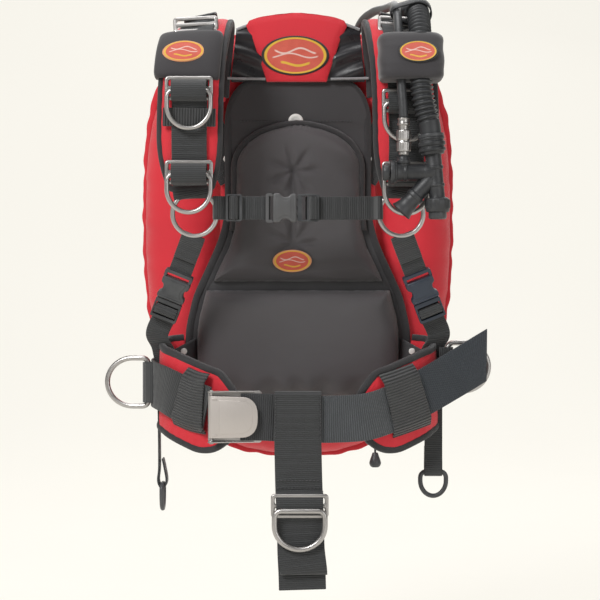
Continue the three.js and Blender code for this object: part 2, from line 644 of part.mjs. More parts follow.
function addDumpValve() {
  const { x, y, z, radius } = valve;
  const body = build(
    [
      rod(v3(x, y + 11, z), v3(x, y - 1, z), radius, radius, 24),
      rod(v3(x, y + 4, z), v3(x, y + 4, valve.nozzle), 4.6, 4.6, 12),
    ],
    [rod(v3(x, y + 4, valve.cordTop + 0.4), v3(x, y + 4, valve.nozzle - 1), 2, 2, 10)],
  );
  add("dump_valve", body, plastic);
  const cord = routeThrough([[x, y + 4, valve.cordTop], [x, y + 4, valve.nozzle], [x, y + 4, valve.knob - 1]]);
  const profile = [[0, 0], [3, 0], [4, -3], [6.8, -12], [5.6, -16], [0, -17]];
  const knob = new THREE.LatheGeometry(profile.reverse().map((q) => new THREE.Vector2(...q)), 14)
    .rotateX(Math.PI / 2)
    .translate(x, y + 4, valve.knob);
  add("pull_cord", build([hose(cord, 1.2, 8, 6), knob]), plastic);
}

// ---------- Tank band ----------
const tank = { y: 147, z: -270, inner: TANK_RADIUS + 2, buckleTurn: 0.9 };

function addTankBand() {
  const hoop = new THREE.Shape().absarc(0, 0, tank.inner + WEB + 0.2, 0, 2 * Math.PI, false);
  hoop.holes.push(new THREE.Path().absarc(0, 0, tank.inner, 0, 2 * Math.PI, true));
  const band = new THREE.ExtrudeGeometry(hoop, { depth: WIDE_WEB, bevelEnabled: false, curveSegments: 20 });
  add("tank_band", band.translate(0, tank.y, tank.z - WIDE_WEB / 2), webbing);
  const out = tank.inner + WEB + 1.6;
  const turn = tank.buckleTurn;
  const at = v3(out * Math.sin(turn), tank.y + out * Math.cos(turn), tank.z);
  addLeverBuckle("band_buckle", at, -turn);
}

addWing();
addBack();
addShoulders();
addChestStrap();
addSideStraps();
addWaistband();
addBelt();
addLeverBuckle("waist_buckle", v3(buckle.x, buckle.y, -426), Math.PI);
addCrotchStrap();
addHoses();
addInflator();
addDumpValve();
addTankBand();

export default vest;
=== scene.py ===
# Diver's buoyancy compensator vest: a webbing harness on a padded back with a ring-shaped air wing behind it.
# Sizes are in millimetres and are brought to metres as each mesh is made. +X is the wearer's left, +Y the
# rear, +Z up, and the origin is the neck point between the crests of the two shoulder straps.
import math

import bmesh
import bpy
import numpy as np
from mathutils import Matrix, Vector


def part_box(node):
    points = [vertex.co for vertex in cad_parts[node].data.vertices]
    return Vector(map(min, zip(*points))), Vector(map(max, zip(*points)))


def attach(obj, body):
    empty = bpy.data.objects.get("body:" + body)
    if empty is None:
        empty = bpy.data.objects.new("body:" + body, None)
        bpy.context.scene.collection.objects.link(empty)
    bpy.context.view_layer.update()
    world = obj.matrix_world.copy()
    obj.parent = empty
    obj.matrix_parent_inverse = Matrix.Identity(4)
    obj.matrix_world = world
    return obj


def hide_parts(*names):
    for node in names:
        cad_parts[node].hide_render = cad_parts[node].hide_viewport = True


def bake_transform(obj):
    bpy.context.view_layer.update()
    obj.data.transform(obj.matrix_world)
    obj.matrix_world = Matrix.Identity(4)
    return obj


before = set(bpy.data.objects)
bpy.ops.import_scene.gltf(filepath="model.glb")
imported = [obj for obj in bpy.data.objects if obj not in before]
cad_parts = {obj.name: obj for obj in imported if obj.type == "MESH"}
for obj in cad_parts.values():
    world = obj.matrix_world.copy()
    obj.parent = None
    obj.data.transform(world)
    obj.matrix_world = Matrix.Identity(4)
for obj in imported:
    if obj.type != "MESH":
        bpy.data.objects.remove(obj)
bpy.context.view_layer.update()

# ---------------------------------------------------------------------------------------------------------
# Studio. A pale floor that curves up into a backdrop, four soft panels of light and a long lens at chest
# height, straight in front of the vest.
camera = bpy.data.objects.new("camera", bpy.data.cameras.new("camera"))
camera.data.sensor_width = 36.0
camera.data.lens = 100.4
camera.location = (0.0023, -1.870, -0.300)
camera.rotation_euler = (math.pi / 2, 0, 0)
bpy.context.scene.collection.objects.link(camera)
bpy.context.scene.camera = camera
bpy.context.scene.view_settings.view_transform = "Standard"


class Socket:
    """A shader socket on which Python arithmetic adds Math nodes."""

    def __init__(self, finish, socket):
        self.finish, self.socket = finish, socket

    def math(self, operation, *values):
        return self.finish.node("Math", {"operation": operation}, dict(enumerate(values)))

    def __add__(self, other):
        return self.math("ADD", self, other)

    def __sub__(self, other):
        return self.math("SUBTRACT", self, other)

    def __rsub__(self, other):
        return self.math("SUBTRACT", other, self)

    def __mul__(self, other):
        return self.math("MULTIPLY", self, other)

    __radd__ = __add__
    __rmul__ = __mul__

    def wave(self):
        return self.math("SINE", self)

    def above(self, edge, soft=0.02):
        """0 below the edge and 1 above it, with a soft step."""
        return self.finish.node("MapRange", {}, {0: self, 1: edge - soft, 2: edge + soft})

    def below(self, edge, soft=0.02):
        return 1 - self.above(edge, soft)


class Finish:
    """A material: one Principled shader, and the nodes that feed it."""

    def __init__(self, name, **plain):
        self.material = bpy.data.materials.new(name)
        self.material.use_nodes = True
        self.tree = self.material.node_tree
        self.tree.nodes.clear()
        self.shader = self.tree.nodes.new("ShaderNodeBsdfPrincipled")
        out = self.tree.nodes.new("ShaderNodeOutputMaterial")
        self.tree.links.new(self.shader.outputs[0], out.inputs[0])
        self.plug(self.shader, {k.replace("_", " ").title(): v for k, v in plain.items()})

    def plug(self, node, values):
        for key, value in values.items():
            socket = node.inputs[key]
            if isinstance(value, Socket):
                self.tree.links.new(value.socket, socket)
            elif isinstance(value, tuple) and socket.type == "RGBA":
                socket.default_value = (*value, 1)
            else:
                socket.default_value = value

    def node(self, kind, settings, sockets, out=0):
        made = self.tree.nodes.new("ShaderNode" + kind)
        for key, value in settings.items():
            if key == "stops":
                ramp = made.color_ramp
                while len(ramp.elements) < len(value):
                    ramp.elements.new(0.5)
                for stop, (place, colour) in zip(ramp.elements, value):
                    stop.position, stop.color = place, (*colour, 1)
            else:
                setattr(made, key, value)
        self.plug(made, sockets)
        return Socket(self, made.outputs[out])

    def place(self, turn=(0, 0, 0)):
        """Object coordinates, turned if the pattern lies aslant."""
        here = self.node("TexCoord", {}, {}, "Object")
        return self.node("Mapping", {}, {"Vector": here, "Rotation": turn}) if any(turn) else here

    def split(self, vector):
        return [self.node("SeparateXYZ", {}, {0: vector}, k) for k in range(3)]

    def uv(self):
        return self.split(self.node("UVMap", {"uv_map": "UVMap"}, {}))[:2]

    def noise(self, where, scale, detail=3.0, rough=0.5):
        return self.node(
            "TexNoise", {}, {"Vector": where, "Scale": scale, "Detail": detail, "Roughness": rough}
        )

    def mix(self, share, a, b, blend="MIX"):
        return self.node("Mix", {"data_type": "RGBA", "blend_type": blend}, {0: share, 6: a, 7: b}, 2)

    def bump(self, height, depth, strength=1.0):
        normal = self.node("Bump", {}, {"Height": height, "Distance": depth, "Strength": strength})
        self.plug(self.shader, {"Normal": normal})

    def shade(self, values):
        self.plug(self.shader, values)
        return self


backdrop = Finish("studio_paper", roughness=0.9)
grain = backdrop.noise(backdrop.place(), 3.0)
backdrop.shade({
    "Base Color": backdrop.mix(grain, (0.16, 0.157, 0.15), (0.18, 0.177, 0.17)),
    "Emission Color": (0.93, 0.905, 0.83), "Emission Strength": 0.82,
})
side = [(-4.0, -0.74), (1.6, -0.74), (2.1, -0.64), (2.4, -0.30), (2.5, 0.2), (2.5, 2.6)]
sweep = bpy.data.meshes.new("studio_sweep")
sweep.from_pydata(
    [(x, y, z) for x in (-4.5, 4.5) for y, z in side], [],
    [(k, k + 6, k + 7, k + 1) for k in range(5)],
)
floor = bpy.data.objects.new("studio_sweep", sweep)
bpy.context.scene.collection.objects.link(floor)
sweep.materials.append(backdrop.material)
floor.modifiers.new("curve", "SUBSURF").levels = 3
floor.modifiers["curve"].render_levels = 3
sweep.shade_smooth()

for name, where, size, power in (
    ("key", (-1.5, -2.0, 1.6), 1.0, 74), ("fill", (1.9, -2.1, 0.3), 1.6, 17),
    ("top", (0.0, 0.2, 2.1), 1.3, 26), ("rear", (0.3, 1.9, 1.2), 1.6, 18),
):
    lamp = bpy.data.objects.new(name, bpy.data.lights.new(name, "AREA"))
    lamp.data.energy, lamp.data.size = power, size
    lamp.location = where
    lamp.rotation_euler = (Vector((0, 0, -0.3)) - Vector(where)).to_track_quat("-Z", "Y").to_euler()
    bpy.context.scene.collection.objects.link(lamp)
world = bpy.data.worlds.new("studio")
world.use_nodes = True
world.node_tree.nodes["Background"].inputs[0].default_value = (1.0, 0.99, 0.96, 1)
world.node_tree.nodes["Background"].inputs[1].default_value = 0.20
bpy.context.scene.world = world

# ---------------------------------------------------------------------------------------------------------
# Hoses. The wide corrugated rubber hose joins the wing's elbow to the inflator's cuff, where a tie wrap
# holds it. The thin low-pressure hose runs from the inflator's coupling to a steel fitting for the tank.


def route_through(points, count, start=0.0, end=1.0):
    """Even stations on one smooth centripetal curve through the points, in mm, and their directions."""
    p = np.array(points, float)
    p = np.vstack([2 * p[0] - p[1], p, 2 * p[-1] - p[-2]])
    line = []
    for a, b, c, d in zip(p, p[1:], p[2:], p[3:]):
        u, v, w = (np.linalg.norm(q) ** 0.5 for q in (b - a, c - b, d - c))
        m = ((b - a) / u - (c - a) / (u + v) + (c - b) / v) * v
        n = ((c - b) / v - (d - b) / (v + w) + (d - c) / w) * v
        t = np.linspace(0, 1, 24, endpoint=False)[:, None]
        line.append(b + m * t + (3 * (c - b) - 2 * m - n) * t**2 + (2 * (b - c) + m + n) * t**3)
    line = np.vstack([*line, p[-2]])
    run = np.concatenate([[0], np.cumsum(np.linalg.norm(np.diff(line, axis=0), axis=1))])
    at = np.linspace(start, end, count) * run[-1]
    even = np.stack([np.interp(at, run, line[:, k]) for k in range(3)], 1)
    way = np.gradient(even, axis=0)
    return even, way / np.linalg.norm(way, axis=1)[:, None]


def unit(v):
    v = np.asarray(v, float)
    return v / np.linalg.norm(v, axis=-1, keepdims=True)


def skin(name, verts, faces, finish, body="root", uv=None):
    """A mesh piece from points in mm, with a UV map in metres where one is given for each face corner."""
    mesh = bpy.data.meshes.new(name)
    mesh.from_pydata((np.asarray(verts, float) / 1000).tolist(), [], faces)
    if uv is not None:
        mesh.uv_layers.new(name="UVMap").data.foreach_set("uv", (np.array(uv, float) / 1000).ravel())
    mesh.materials.append(finish.material)
    mesh.shade_smooth()
    made = bpy.data.objects.new(name, mesh)
    bpy.context.scene.collection.objects.link(made)
    if body:
        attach(made, body)
    return made


def loft(name, rings, finish, body="root", closed=False, caps=True):
    """A skin over rings of points. Its UV runs round each ring, then along them."""
    r = np.array(rings, float)
    n, m = r.shape[:2]
    loop = np.concatenate([r, r[:, :1]], 1)
    u = np.linalg.norm(np.diff(loop, axis=1), axis=2).mean(0)
    u = np.concatenate([[0], np.cumsum(u)])
    chain = np.concatenate([r, r[:1]]) if closed else r
    v = np.concatenate([[0], np.cumsum(np.linalg.norm(np.diff(chain, axis=0), axis=2).mean(1))])
    faces, uv = [], []
    for i in range(n if closed else n - 1):
        for j in range(m):
            k, h = (i + 1) % n, (j + 1) % m
            faces.append((i * m + j, i * m + h, k * m + h, k * m + j))
            uv += [(u[j], v[i]), (u[j + 1], v[i]), (u[j + 1], v[i + 1]), (u[j], v[i + 1])]
    if caps and not closed:
        for end, order in ((0, range(m - 1, -1, -1)), (n - 1, range(m))):
            faces.append([end * m + j for j in order])
            uv += [(u[j], v[end] + 3) for j in order]
    made = skin(name, r.reshape(-1, 3), faces, finish, body, uv)
    solid = bmesh.new()
    solid.from_mesh(made.data)
    bmesh.ops.recalc_face_normals(solid, faces=solid.faces)
    solid.to_mesh(made.data)
    solid.free()
    return made


def blunt(values, power):
    """Bends a sine or a cosine, so that a ring it draws is squarer than an ellipse."""
    return np.sign(values) * np.abs(values) ** power


def softened(piece, width, segments, degrees):
    """Rounds the edges that are sharper than an angle, width in mm."""
    edge = piece.modifiers.new("edge", "BEVEL")
    edge.width, edge.segments = width / 1000, segments
    edge.limit_method, edge.angle_limit = "ANGLE", math.radians(degrees)
    return piece


def tube(name, line, way, radii, finish, body="root", sides=20, caps=True):
    """A round tube along stations, whose radius may change from station to station."""
    radii = np.broadcast_to(radii, len(line))
    up = np.array([0, 0, 1.0]) if abs(way[0][2]) < 0.9 else np.array([1.0, 0, 0])
    rings = []
    for at, along, radius in zip(line, way, radii):
        up = unit(up - along * (up @ along))
        out = np.cross(along, up)
        turn = np.arange(sides) / sides * 2 * math.pi
        rings.append(at + radius * (np.cos(turn)[:, None] * up + np.sin(turn)[:, None] * out))
    return loft(name, rings, finish, body, caps=caps)


hose_rubber = Finish("hose_rubber", roughness=0.5)
dust = hose_rubber.noise(hose_rubber.place(), 60.0, 5.0, 0.6)
cloud = hose_rubber.noise(hose_rubber.place(), 9.0)
hose_rubber.shade({
    "Base Color": hose_rubber.mix(dust, (0.014, 0.015, 0.017), (0.040, 0.042, 0.045)),
    "Roughness": cloud * 0.25 + 0.34,
})
hose_rubber.bump(dust, 0.0003)

breathing_route = [
    (95, 134, -22), (95, 134, -13), (98, 130, 2), (106, 114, 18), (117, 84, 26), (125, 44, 25),
    (130, 2, 22), (131, -42, 14), (131, -75, -14), (130, -92, -50), (132, -98, -82), (136, -98, -101),
    (139.4, -98, -114), (141, -98, -128),
]
RIBS, STEPS = 70, 8
line, way = route_through(breathing_route, RIBS * STEPS + 1)
fold = np.arange(RIBS * STEPS + 1) * 2 * math.pi / STEPS
ribs = 11.1 + 1.35 * blunt(np.cos(fold), 0.7)
ribs[:24] = ribs[-26:] = 11.4
corrugated = tube("corrugated_hose_rubber", line, way, ribs, hose_rubber, sides=24)
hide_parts("corrugated_hose")
run = float(np.linalg.norm(np.diff(line, axis=0), axis=1).sum()) / 1000
tuple(line[0] / 1000)
[tuple(p / 1000) for p in line[::7]]

supply_route = [
    (112, -98, -106.5), (111.6, -98, -96), (110.5, -97, -82), (108.5, -92, -52), (108, -74, -14),
    (108, -47, 13), (107, -18, 26), (106, 8, 30), (99, 38, 32), (87, 72, 34), (74, 106, 27), (66, 128, 4),
    (63, 134, -32), (61.5, 134.5, -80), (61, 134.5, -130), (61, 134.5, -176),
]


def wire(name, points, radius, finish, body="root", cyclic=True, sides=6):
    """A round wire or cord through the points: a curve with its own bevel."""
    curve = bpy.data.curves.new(name, "CURVE")
    curve.dimensions = "3D"
    curve.bevel_depth = radius / 1000
    curve.bevel_resolution = sides
    curve.use_fill_caps = True
    spline = curve.splines.new("POLY")
    spline.points.add(len(points) - 1)
    for spot, (x, y, z) in zip(spline.points, points):
        spot.co = (x / 1000, y / 1000, z / 1000, 1)
    spline.use_cyclic_u = cyclic
    spline.use_smooth = True
    curve.materials.append(finish.material)
    made = bpy.data.objects.new(name, curve)
    bpy.context.scene.collection.objects.link(made)
    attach(made, body)
    return made


braid = Finish("supply_hose_cover", roughness=0.42)
fleck = braid.noise(braid.place(), 420.0, 2.0)
braid.shade({"Base Color": braid.mix(fleck, (0.020, 0.021, 0.023), (0.055, 0.057, 0.060))})
braid.bump(fleck, 0.0002)
line, way = route_through(supply_route, 150)
supply = wire("supply_hose_rubber", line, 4.9, braid, cyclic=False, sides=6)
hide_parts("supply_hose")
steel = Finish("satin_stainless", metallic=1.0)
streak = steel.noise(steel.node("Mapping", {}, {"Vector": steel.place(), "Scale": (1, 1, 9)}), 160.0, 4.0)
smear = steel.noise(steel.place(), 14.0)
steel.shade({
    "Base Color": steel.mix(smear, (0.36, 0.345, 0.335), (0.56, 0.54, 0.525)),
    "Roughness": streak * 0.22 + smear * 0.16 + 0.18,
})
steel.bump(streak, 0.00012)
end = np.array(supply_route[-1])


def turned(name, profile, start, along, finish, body="root", sides=28):
    """A turned part: a list of (distance along the axis, radius), from one end to the other."""
    along = unit(along)
    line = np.array([np.array(start, float) + along * d for d, _ in profile])
    way = np.tile(along, (len(profile), 1))
    made = tube(name, line, way, [max(r, 0.01) for _, r in profile], finish, body, sides)
    return softened(made, 0.3, 2, 35)


fitting = turned(
    "supply_fitting_body",
    [
        (0.4, 5.3), (0.6, 6.2), (4, 6.2), (4.4, 5.7), (5.4, 5.7), (5.8, 6.2), (12.5, 6.2), (13, 5.0),
        (18.8, 5.0), (19.2, 4.1), (20.2, 4.1), (20.4, 4.7), (21.4, 4.7), (21.8, 4.3), (22.6, 4.7),
        (23.4, 4.3), (24.2, 4.7), (25, 4.3), (25.8, 4.7), (26.6, 4.3), (27.4, 4.6), (28.4, 4.4),
        (28.8, 3.6), (28.9, 0.0)
    ],
    end, (0, 0, -1), steel,
)
hexes = tube(
    "supply_fitting_hexagon", np.array([end + (0, 0, -13.2), end + (0, 0, -18.8)]),
    np.array([(0, 0, -1.0)] * 2), 8.0, steel, sides=6,
)
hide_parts("supply_fitting")
run = float(np.linalg.norm(np.diff(line, axis=0), axis=1).sum()) / 1000
tuple(line[0] / 1000)
hub, thin = np.array((131.0, -42.0, 14.0)), np.array((108.0, -45.0, 14.0))
along, across = unit((0.0, -0.83, -0.56)), unit(thin - hub)
across = unit(across - along * (across @ along))
deep = np.cross(along, across)
lean = math.acos((13.6 - 6.0) / np.linalg.norm(thin - hub))
turns = [(hub, 13.6, a) for a in np.linspace(lean, 2 * math.pi - lean, 40)]
turns += [(thin, 6.0, a) for a in np.linspace(-lean, lean, 20)]
rings = []
for centre, radius, a in turns:
    out = across * math.cos(a) + deep * math.sin(a)
    rings.append([centre + out * (radius + h) + along * d for h, d in (
        (0, -4.6), (0, 4.6), (0.5, 5), (1.3, 5), (1.8, 4.6), (1.8, -4.6), (1.3, -5), (0.5, -5))])
clip = loft("hose_clip", rings, hose_rubber, closed=True)

# ---------------------------------------------------------------------------------------------------------
# Air wing. A ring-shaped bag of coated red nylon, two shells bound together at the rims, with a clear film
# bladder inside. It is part filled, so the fabric puckers along its seams. The tank lies in its middle.
red_nylon = Finish("red_nylon", sheen_weight=0.25, sheen_roughness=0.45)
x, y, z = red_nylon.split(red_nylon.place())
pitch = 2 * math.pi / 0.0011
threads = (x * pitch).wave() * ((z + y * 0.8) * pitch).wave()
fade = red_nylon.noise(red_nylon.place(), 11.0, 4.0)
lint = red_nylon.noise(red_nylon.place(), 900.0, 1.0)
red_nylon.shade({
    "Base Color": red_nylon.mix(
        threads * 0.16 + lint * 0.12 + 0.1,
        red_nylon.mix(fade, (0.60, 0.008, 0.022), (0.78, 0.018, 0.035)), (0.36, 0.003, 0.012)),
    "Roughness": fade * 0.2 + 0.52,
})
red_nylon.bump(threads * 0.5 + fade * 1.6, 0.0005, 0.55)


HALF_WIDE, HALF_HIGH, TUBE, DEEP = 177, 243, 46, 35
SEAM_Y, WING_Z = 82, -235
TOP_POWER, FOOT_POWER, FOOT_TAPER = 4.0, 2.8, 0.06


def wing_outline(inset, count):
    """Even points on the ring's outline, drawn in by inset, as (x, z) in mm, with their outward normals."""
    turn = np.linspace(0, 2 * math.pi, 4001)
    power = np.where(np.sin(turn) > 0, TOP_POWER, FOOT_POWER)
    rise = blunt(np.sin(turn), 2 / power)
    wide = (HALF_WIDE - inset) * (1 - FOOT_TAPER * np.maximum(0, -rise)) * blunt(np.cos(turn), 2 / power)
    line = np.stack([wide, (HALF_HIGH - inset) * rise], 1)
    run = np.concatenate([[0], np.cumsum(np.linalg.norm(np.diff(line, axis=0), axis=1))])
    at = np.arange(count) / count * run[-1]
    even = np.stack([np.interp(at, run, line[:, k]) for k in (0, 1)], 1)
    way = unit(np.roll(even, -1, 0) - np.roll(even, 1, 0))
    for _ in range(6):
        way = unit(way + np.roll(way, 1, 0) + np.roll(way, -1, 0))
    return even + (0, WING_Z), np.stack([way[:, 1], -way[:, 0]], 1)


COUNT = 420
middle, outward = wing_outline(TUBE, COUNT)
theta = np.arange(COUNT) / COUNT * 2 * math.pi
pucker = 0.5 * np.sin(41 * theta) + 0.35 * np.sin(67 * theta + 1.3) + 0.3 * np.sin(23 * theta + 0.4)
slack = 0.6 * np.sin(7 * theta + 0.8) + 0.4 * np.sin(13 * theta + 2.1)


def wing_half(sign, count=19):
    """One shell's rings: from the outer rim, over its crown, to the inner rim."""
    rings = []
    for k in range(COUNT):
        phi = np.linspace(0.02, math.pi - 0.02, count)
        seam = np.exp(-np.sin(phi) * 4.5)
        r = 1 + 0.02 * slack[k] * np.sin(phi) + 0.11 * pucker[k] * seam * np.sin(phi) * 2.4
        out = TUBE * np.cos(phi) * r
        deep = SEAM_Y + sign * (1.0 + DEEP * np.sin(phi) * r)
        rings.append(
            np.stack([middle[k, 0] + outward[k, 0] * out, deep, middle[k, 1] + outward[k, 1] * out], 1)
        )
    return rings


def walled(piece, thick, offset=0.0):
    """Gives an open skin its thickness, in mm."""
    wall = piece.modifiers.new("wall", "SOLIDIFY")
    wall.thickness, wall.offset = thick / 1000, offset
    return piece


def sheet_of(name, rings, finish, thick, body="root", closed=True, offset=-1.0):
    """An open fabric skin over rings of points, given its thickness."""
    r = np.array(rings, float)
    n, m = r.shape[:2]
    faces, uv = [], []
    for i in range(n if closed else n - 1):
        for j in range(m - 1):
            k = (i + 1) % n
            faces.append((i * m + j, i * m + j + 1, k * m + j + 1, k * m + j))
            uv += [(j, i), (j + 1, i), (j + 1, i + 1), (j, i + 1)]
    made = skin(name, r.reshape(-1, 3), faces, finish, body, uv)
    return walled(made, thick, offset)


def faced(piece, towards):
    """Turns an open skin's faces round if most of them look away from the given side."""
    look = sum((f.normal @ Vector(towards)) * f.area for f in piece.data.polygons)
    if look < 0:
        piece.data.flip_normals()
    return piece


front_shell = faced(sheet_of("wing_front_fabric", wing_half(-1), red_nylon, 1.2), (0, -1, 0))
rear_shell = faced(sheet_of("wing_rear_fabric", wing_half(1), red_nylon, 1.2), (0, 1, 0))
inner, _ = wing_outline(88, COUNT)
rays = np.arctan2(inner[:, 1] + 176, inner[:, 0])
reach = np.minimum(27 / np.maximum(np.abs(np.cos(rays)), 1e-6), 61 / np.maximum(np.abs(np.sin(rays)), 1e-6))
hole = np.stack([reach * np.cos(rays), reach * np.sin(rays) - 176], 1)
rings = []
for k in range(COUNT):
    share = np.linspace(0, 1, 12)[:, None]
    spot = inner[k] + (hole[k] - inner[k]) * share
    lift = 48.0 + 0.7 * np.sin(spot[:, 0] / 13 + spot[:, 1] / 21) * np.sin(share[:, 0] * math.pi)
    rings.append(np.stack([spot[:, 0], lift, spot[:, 1]], 1))
centre = faced(sheet_of("wing_centre_fabric", rings, red_nylon, 1.2, offset=0.0), (0, -1, 0))
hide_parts("wing_front_shell")
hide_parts("wing_rear_shell")

binding = Finish("binding_tape", roughness=0.72, sheen_weight=0.2)
x, y, z = binding.split(binding.place())
weft = ((x + y + z) * (2 * math.pi / 0.0013)).wave()
fuzz = binding.noise(binding.place(), 300.0)
binding.shade({"Base Color": binding.mix(
    weft * 0.25 + fuzz * 0.5, (0.012, 0.0115, 0.013), (0.046, 0.044, 0.047))})
binding.bump(weft * 0.5 + fuzz, 0.0003, 0.7)


def oval_tube(name, line, way, wide, thick, flat, finish, body="root", closed=True, sides=12):
    """A tape folded over an edge: an oval tube whose flat direction is given at each station."""
    flat = np.broadcast_to(np.asarray(flat, float), line.shape)
    flat = unit(flat - way * (flat * way).sum(1)[:, None])
    deep = np.cross(way, flat)
    turn = np.arange(sides) / sides * 2 * math.pi
    section = blunt(np.cos(turn), 0.7), blunt(np.sin(turn), 0.7)
    rings = [
        p + section[0][:, None] * wide * f + section[1][:, None] * thick * d
        for p, f, d in zip(line, flat, deep)
    ]
    return loft(name, rings, finish, body, closed=closed, caps=not closed)


for name, inset, put in (("wing_outer_binding", 0.5, 1), ("wing_inner_binding", 91.0, -1)):
    line, out = wing_outline(inset, COUNT)
    line = line + out * (put * 1.1 * pucker)[:, None]
    line = np.stack([line[:, 0], SEAM_Y + 1.6 * slack, line[:, 1]], 1)
    way = unit(np.roll(line, -1, 0) - np.roll(line, 1, 0))
    flat = np.stack([out[:, 0], 0 * out[:, 0], out[:, 1]], 1)
    tape = oval_tube(name, line, way, 4.2, 1.7, flat, red_nylon if put > 0 else binding)


def dress(node, finish, bevel=0.0):
    """Gives a CAD node its finish, and a softened edge."""
    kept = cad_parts[node]
    if not kept.material_slots:
        kept.data.materials.append(None)
    for held in kept.material_slots:
        held.material = finish.material
    if bevel:
        weld = kept.modifiers.new("weld", "WELD")
        weld.merge_threshold = 0.00001
        softened(kept, bevel, 2, 40)


film = Finish("bladder_film", roughness=0.3)
haze = film.noise(film.place(), 20.0)
film.shade({"Base Color": film.mix(haze, (0.60, 0.60, 0.55), (0.74, 0.74, 0.68))})
film.bump(haze, 0.0006)
dress("air_bladder", film)

# ---------------------------------------------------------------------------------------------------------
# Back. A moulded plastic plate with a ridge for the tank, a heavy black nylon panel bound with tape, and two
# foam pads in satin nylon sewn to it. The upper pad is tufted on its middle seam, the lumbar pad is plain.
moulded = Finish("moulded_plastic", roughness=0.45)
stipple = moulded.noise(moulded.place(), 1400.0, 2.0)
scuff = moulded.noise(moulded.place(), 24.0, 6.0, 0.65)
moulded.shade({
    "Base Color": moulded.mix(scuff.above(0.56, 0.14), (0.018, 0.019, 0.021), (0.050, 0.051, 0.054)),
    "Roughness": stipple * 0.2 + scuff * 0.18 + 0.26,
})
moulded.bump(stipple, 0.00015, 0.6)
dress("back_plate", moulded, 0.8)

black_nylon = Finish("black_nylon", roughness=0.6, sheen_weight=0.2)
x, y, z = black_nylon.split(black_nylon.place())
pitch = 2 * math.pi / 0.0014
basket = (x * pitch).wave() * (z * pitch).wave()
drift = black_nylon.noise(black_nylon.place(), 16.0, 4.0)
black_nylon.shade({
    "Base Color": black_nylon.mix(basket * 0.3 + drift * 0.6, (0.018, 0.017, 0.019), (0.052, 0.050, 0.053)),
    "Roughness": drift * 0.2 + 0.5,
})
black_nylon.bump(basket * 0.6 + drift * 1.5, 0.0005, 0.5)

pad_nylon = Finish("pad_nylon", sheen_weight=0.35, sheen_roughness=0.4)
x, y, z = pad_nylon.split(pad_nylon.place())
pitch = 2 * math.pi / 0.0010
plain = (x * pitch).wave() * (z * pitch).wave()
drift = pad_nylon.noise(pad_nylon.place(), 13.0, 4.0)
crease = pad_nylon.noise(
    pad_nylon.node("Mapping", {}, {"Vector": pad_nylon.place(), "Scale": (1.0, 1.0, 2.2)}), 34.0, 5.0
)
pad_nylon.shade({
    "Base Color": pad_nylon.mix(plain * 0.25 + drift * 0.7, (0.045, 0.041, 0.044), (0.085, 0.079, 0.083)),
    "Roughness": drift * 0.22 + 0.36,
})
pad_nylon.bump(plain * 0.35 + crease * 2.6, 0.0009, 0.55)


def cushion(name, x, z, front, rear, finish, body="root"):
    """A closed pad over a grid of (x, z): its front face at y = front, its flat back at y = rear."""
    back = np.broadcast_to(rear, x.shape)
    face = np.stack([x, front, z], 2)
    base = np.stack([x * 0.995, back, z], 2)[:, ::-1]
    return loft(name, np.concatenate([face, base], 1), finish, body)


def rows_of(table, low, high, down, across):
    """A grid that fills an outline given as (z, half width) pairs, from high to low."""
    zs, ws = np.array(sorted(table)).T
    z = high + (low - high) * (1 - np.cos(np.linspace(0.0, math.pi, down))) / 2
    u = np.sin(np.linspace(-math.pi / 2, math.pi / 2, across))
    return u[None] * np.interp(z, zs, ws)[:, None], np.repeat(z[:, None], across, 1)


def edge_distance(table, x, z):
    """How far each point lies inside the outline, in mm."""
    zs, ws = np.array(sorted(table)).T
    dense = np.linspace(zs[0], zs[-1], 260)
    side = np.stack([np.interp(dense, zs, ws), dense], 1)
    flats = [np.stack([np.linspace(0, ws[k], 60), np.full(60, zs[k])], 1) for k in (0, -1)]
    rim = np.concatenate([side, *flats])
    gap = np.abs(x)[..., None] - rim[:, 0], z[..., None] - rim[:, 1]
    return np.sqrt(gap[0] ** 2 + gap[1] ** 2).min(-1)


panel_edge = [
    (-413, 86), (-410.5, 98), (-404, 109), (-394, 117.5), (-381, 122), (-370, 123), (-335, 123),
    (-316, 119.5), (-297, 114.7), (-281, 108), (-264.4, 100.3), (-247, 92.5), (-230.8, 86.1), (-210, 80.8),
    (-190, 79), (-98, 79), (-84, 77.5), (-70, 72.5), (-60, 65.5), (-54, 57), (-52, 50),
]
x, z = rows_of(panel_edge, -413, -52, 90, 40)
front = 35.9 + 0.5 * np.sin(x / 17 + z / 23) * np.sin(z / 31) - 1.4 * np.sin(
    np.clip((z + 103) / 51, 0, 1) * math.pi
) ** 0.5
panel = cushion("back_panel_fabric", x, z, np.where(z > -413, front, 36), 40.0, black_nylon)
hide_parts("back_panel")
zs, ws = np.array(panel_edge).T
half = np.stack([ws, np.full(len(ws), 38.0), zs], 1)
ring, _ = route_through(np.concatenate([half, (half * (-1, 1, 1))[::-1], half[:1]]), 420)
ring = ring[:-1]
way = unit(np.roll(ring, -1, 0) - np.roll(ring, 1, 0))
tape = oval_tube("back_panel_binding", ring, way, 4.6, 3.4, np.cross(way, (0, 1, 0)), binding)

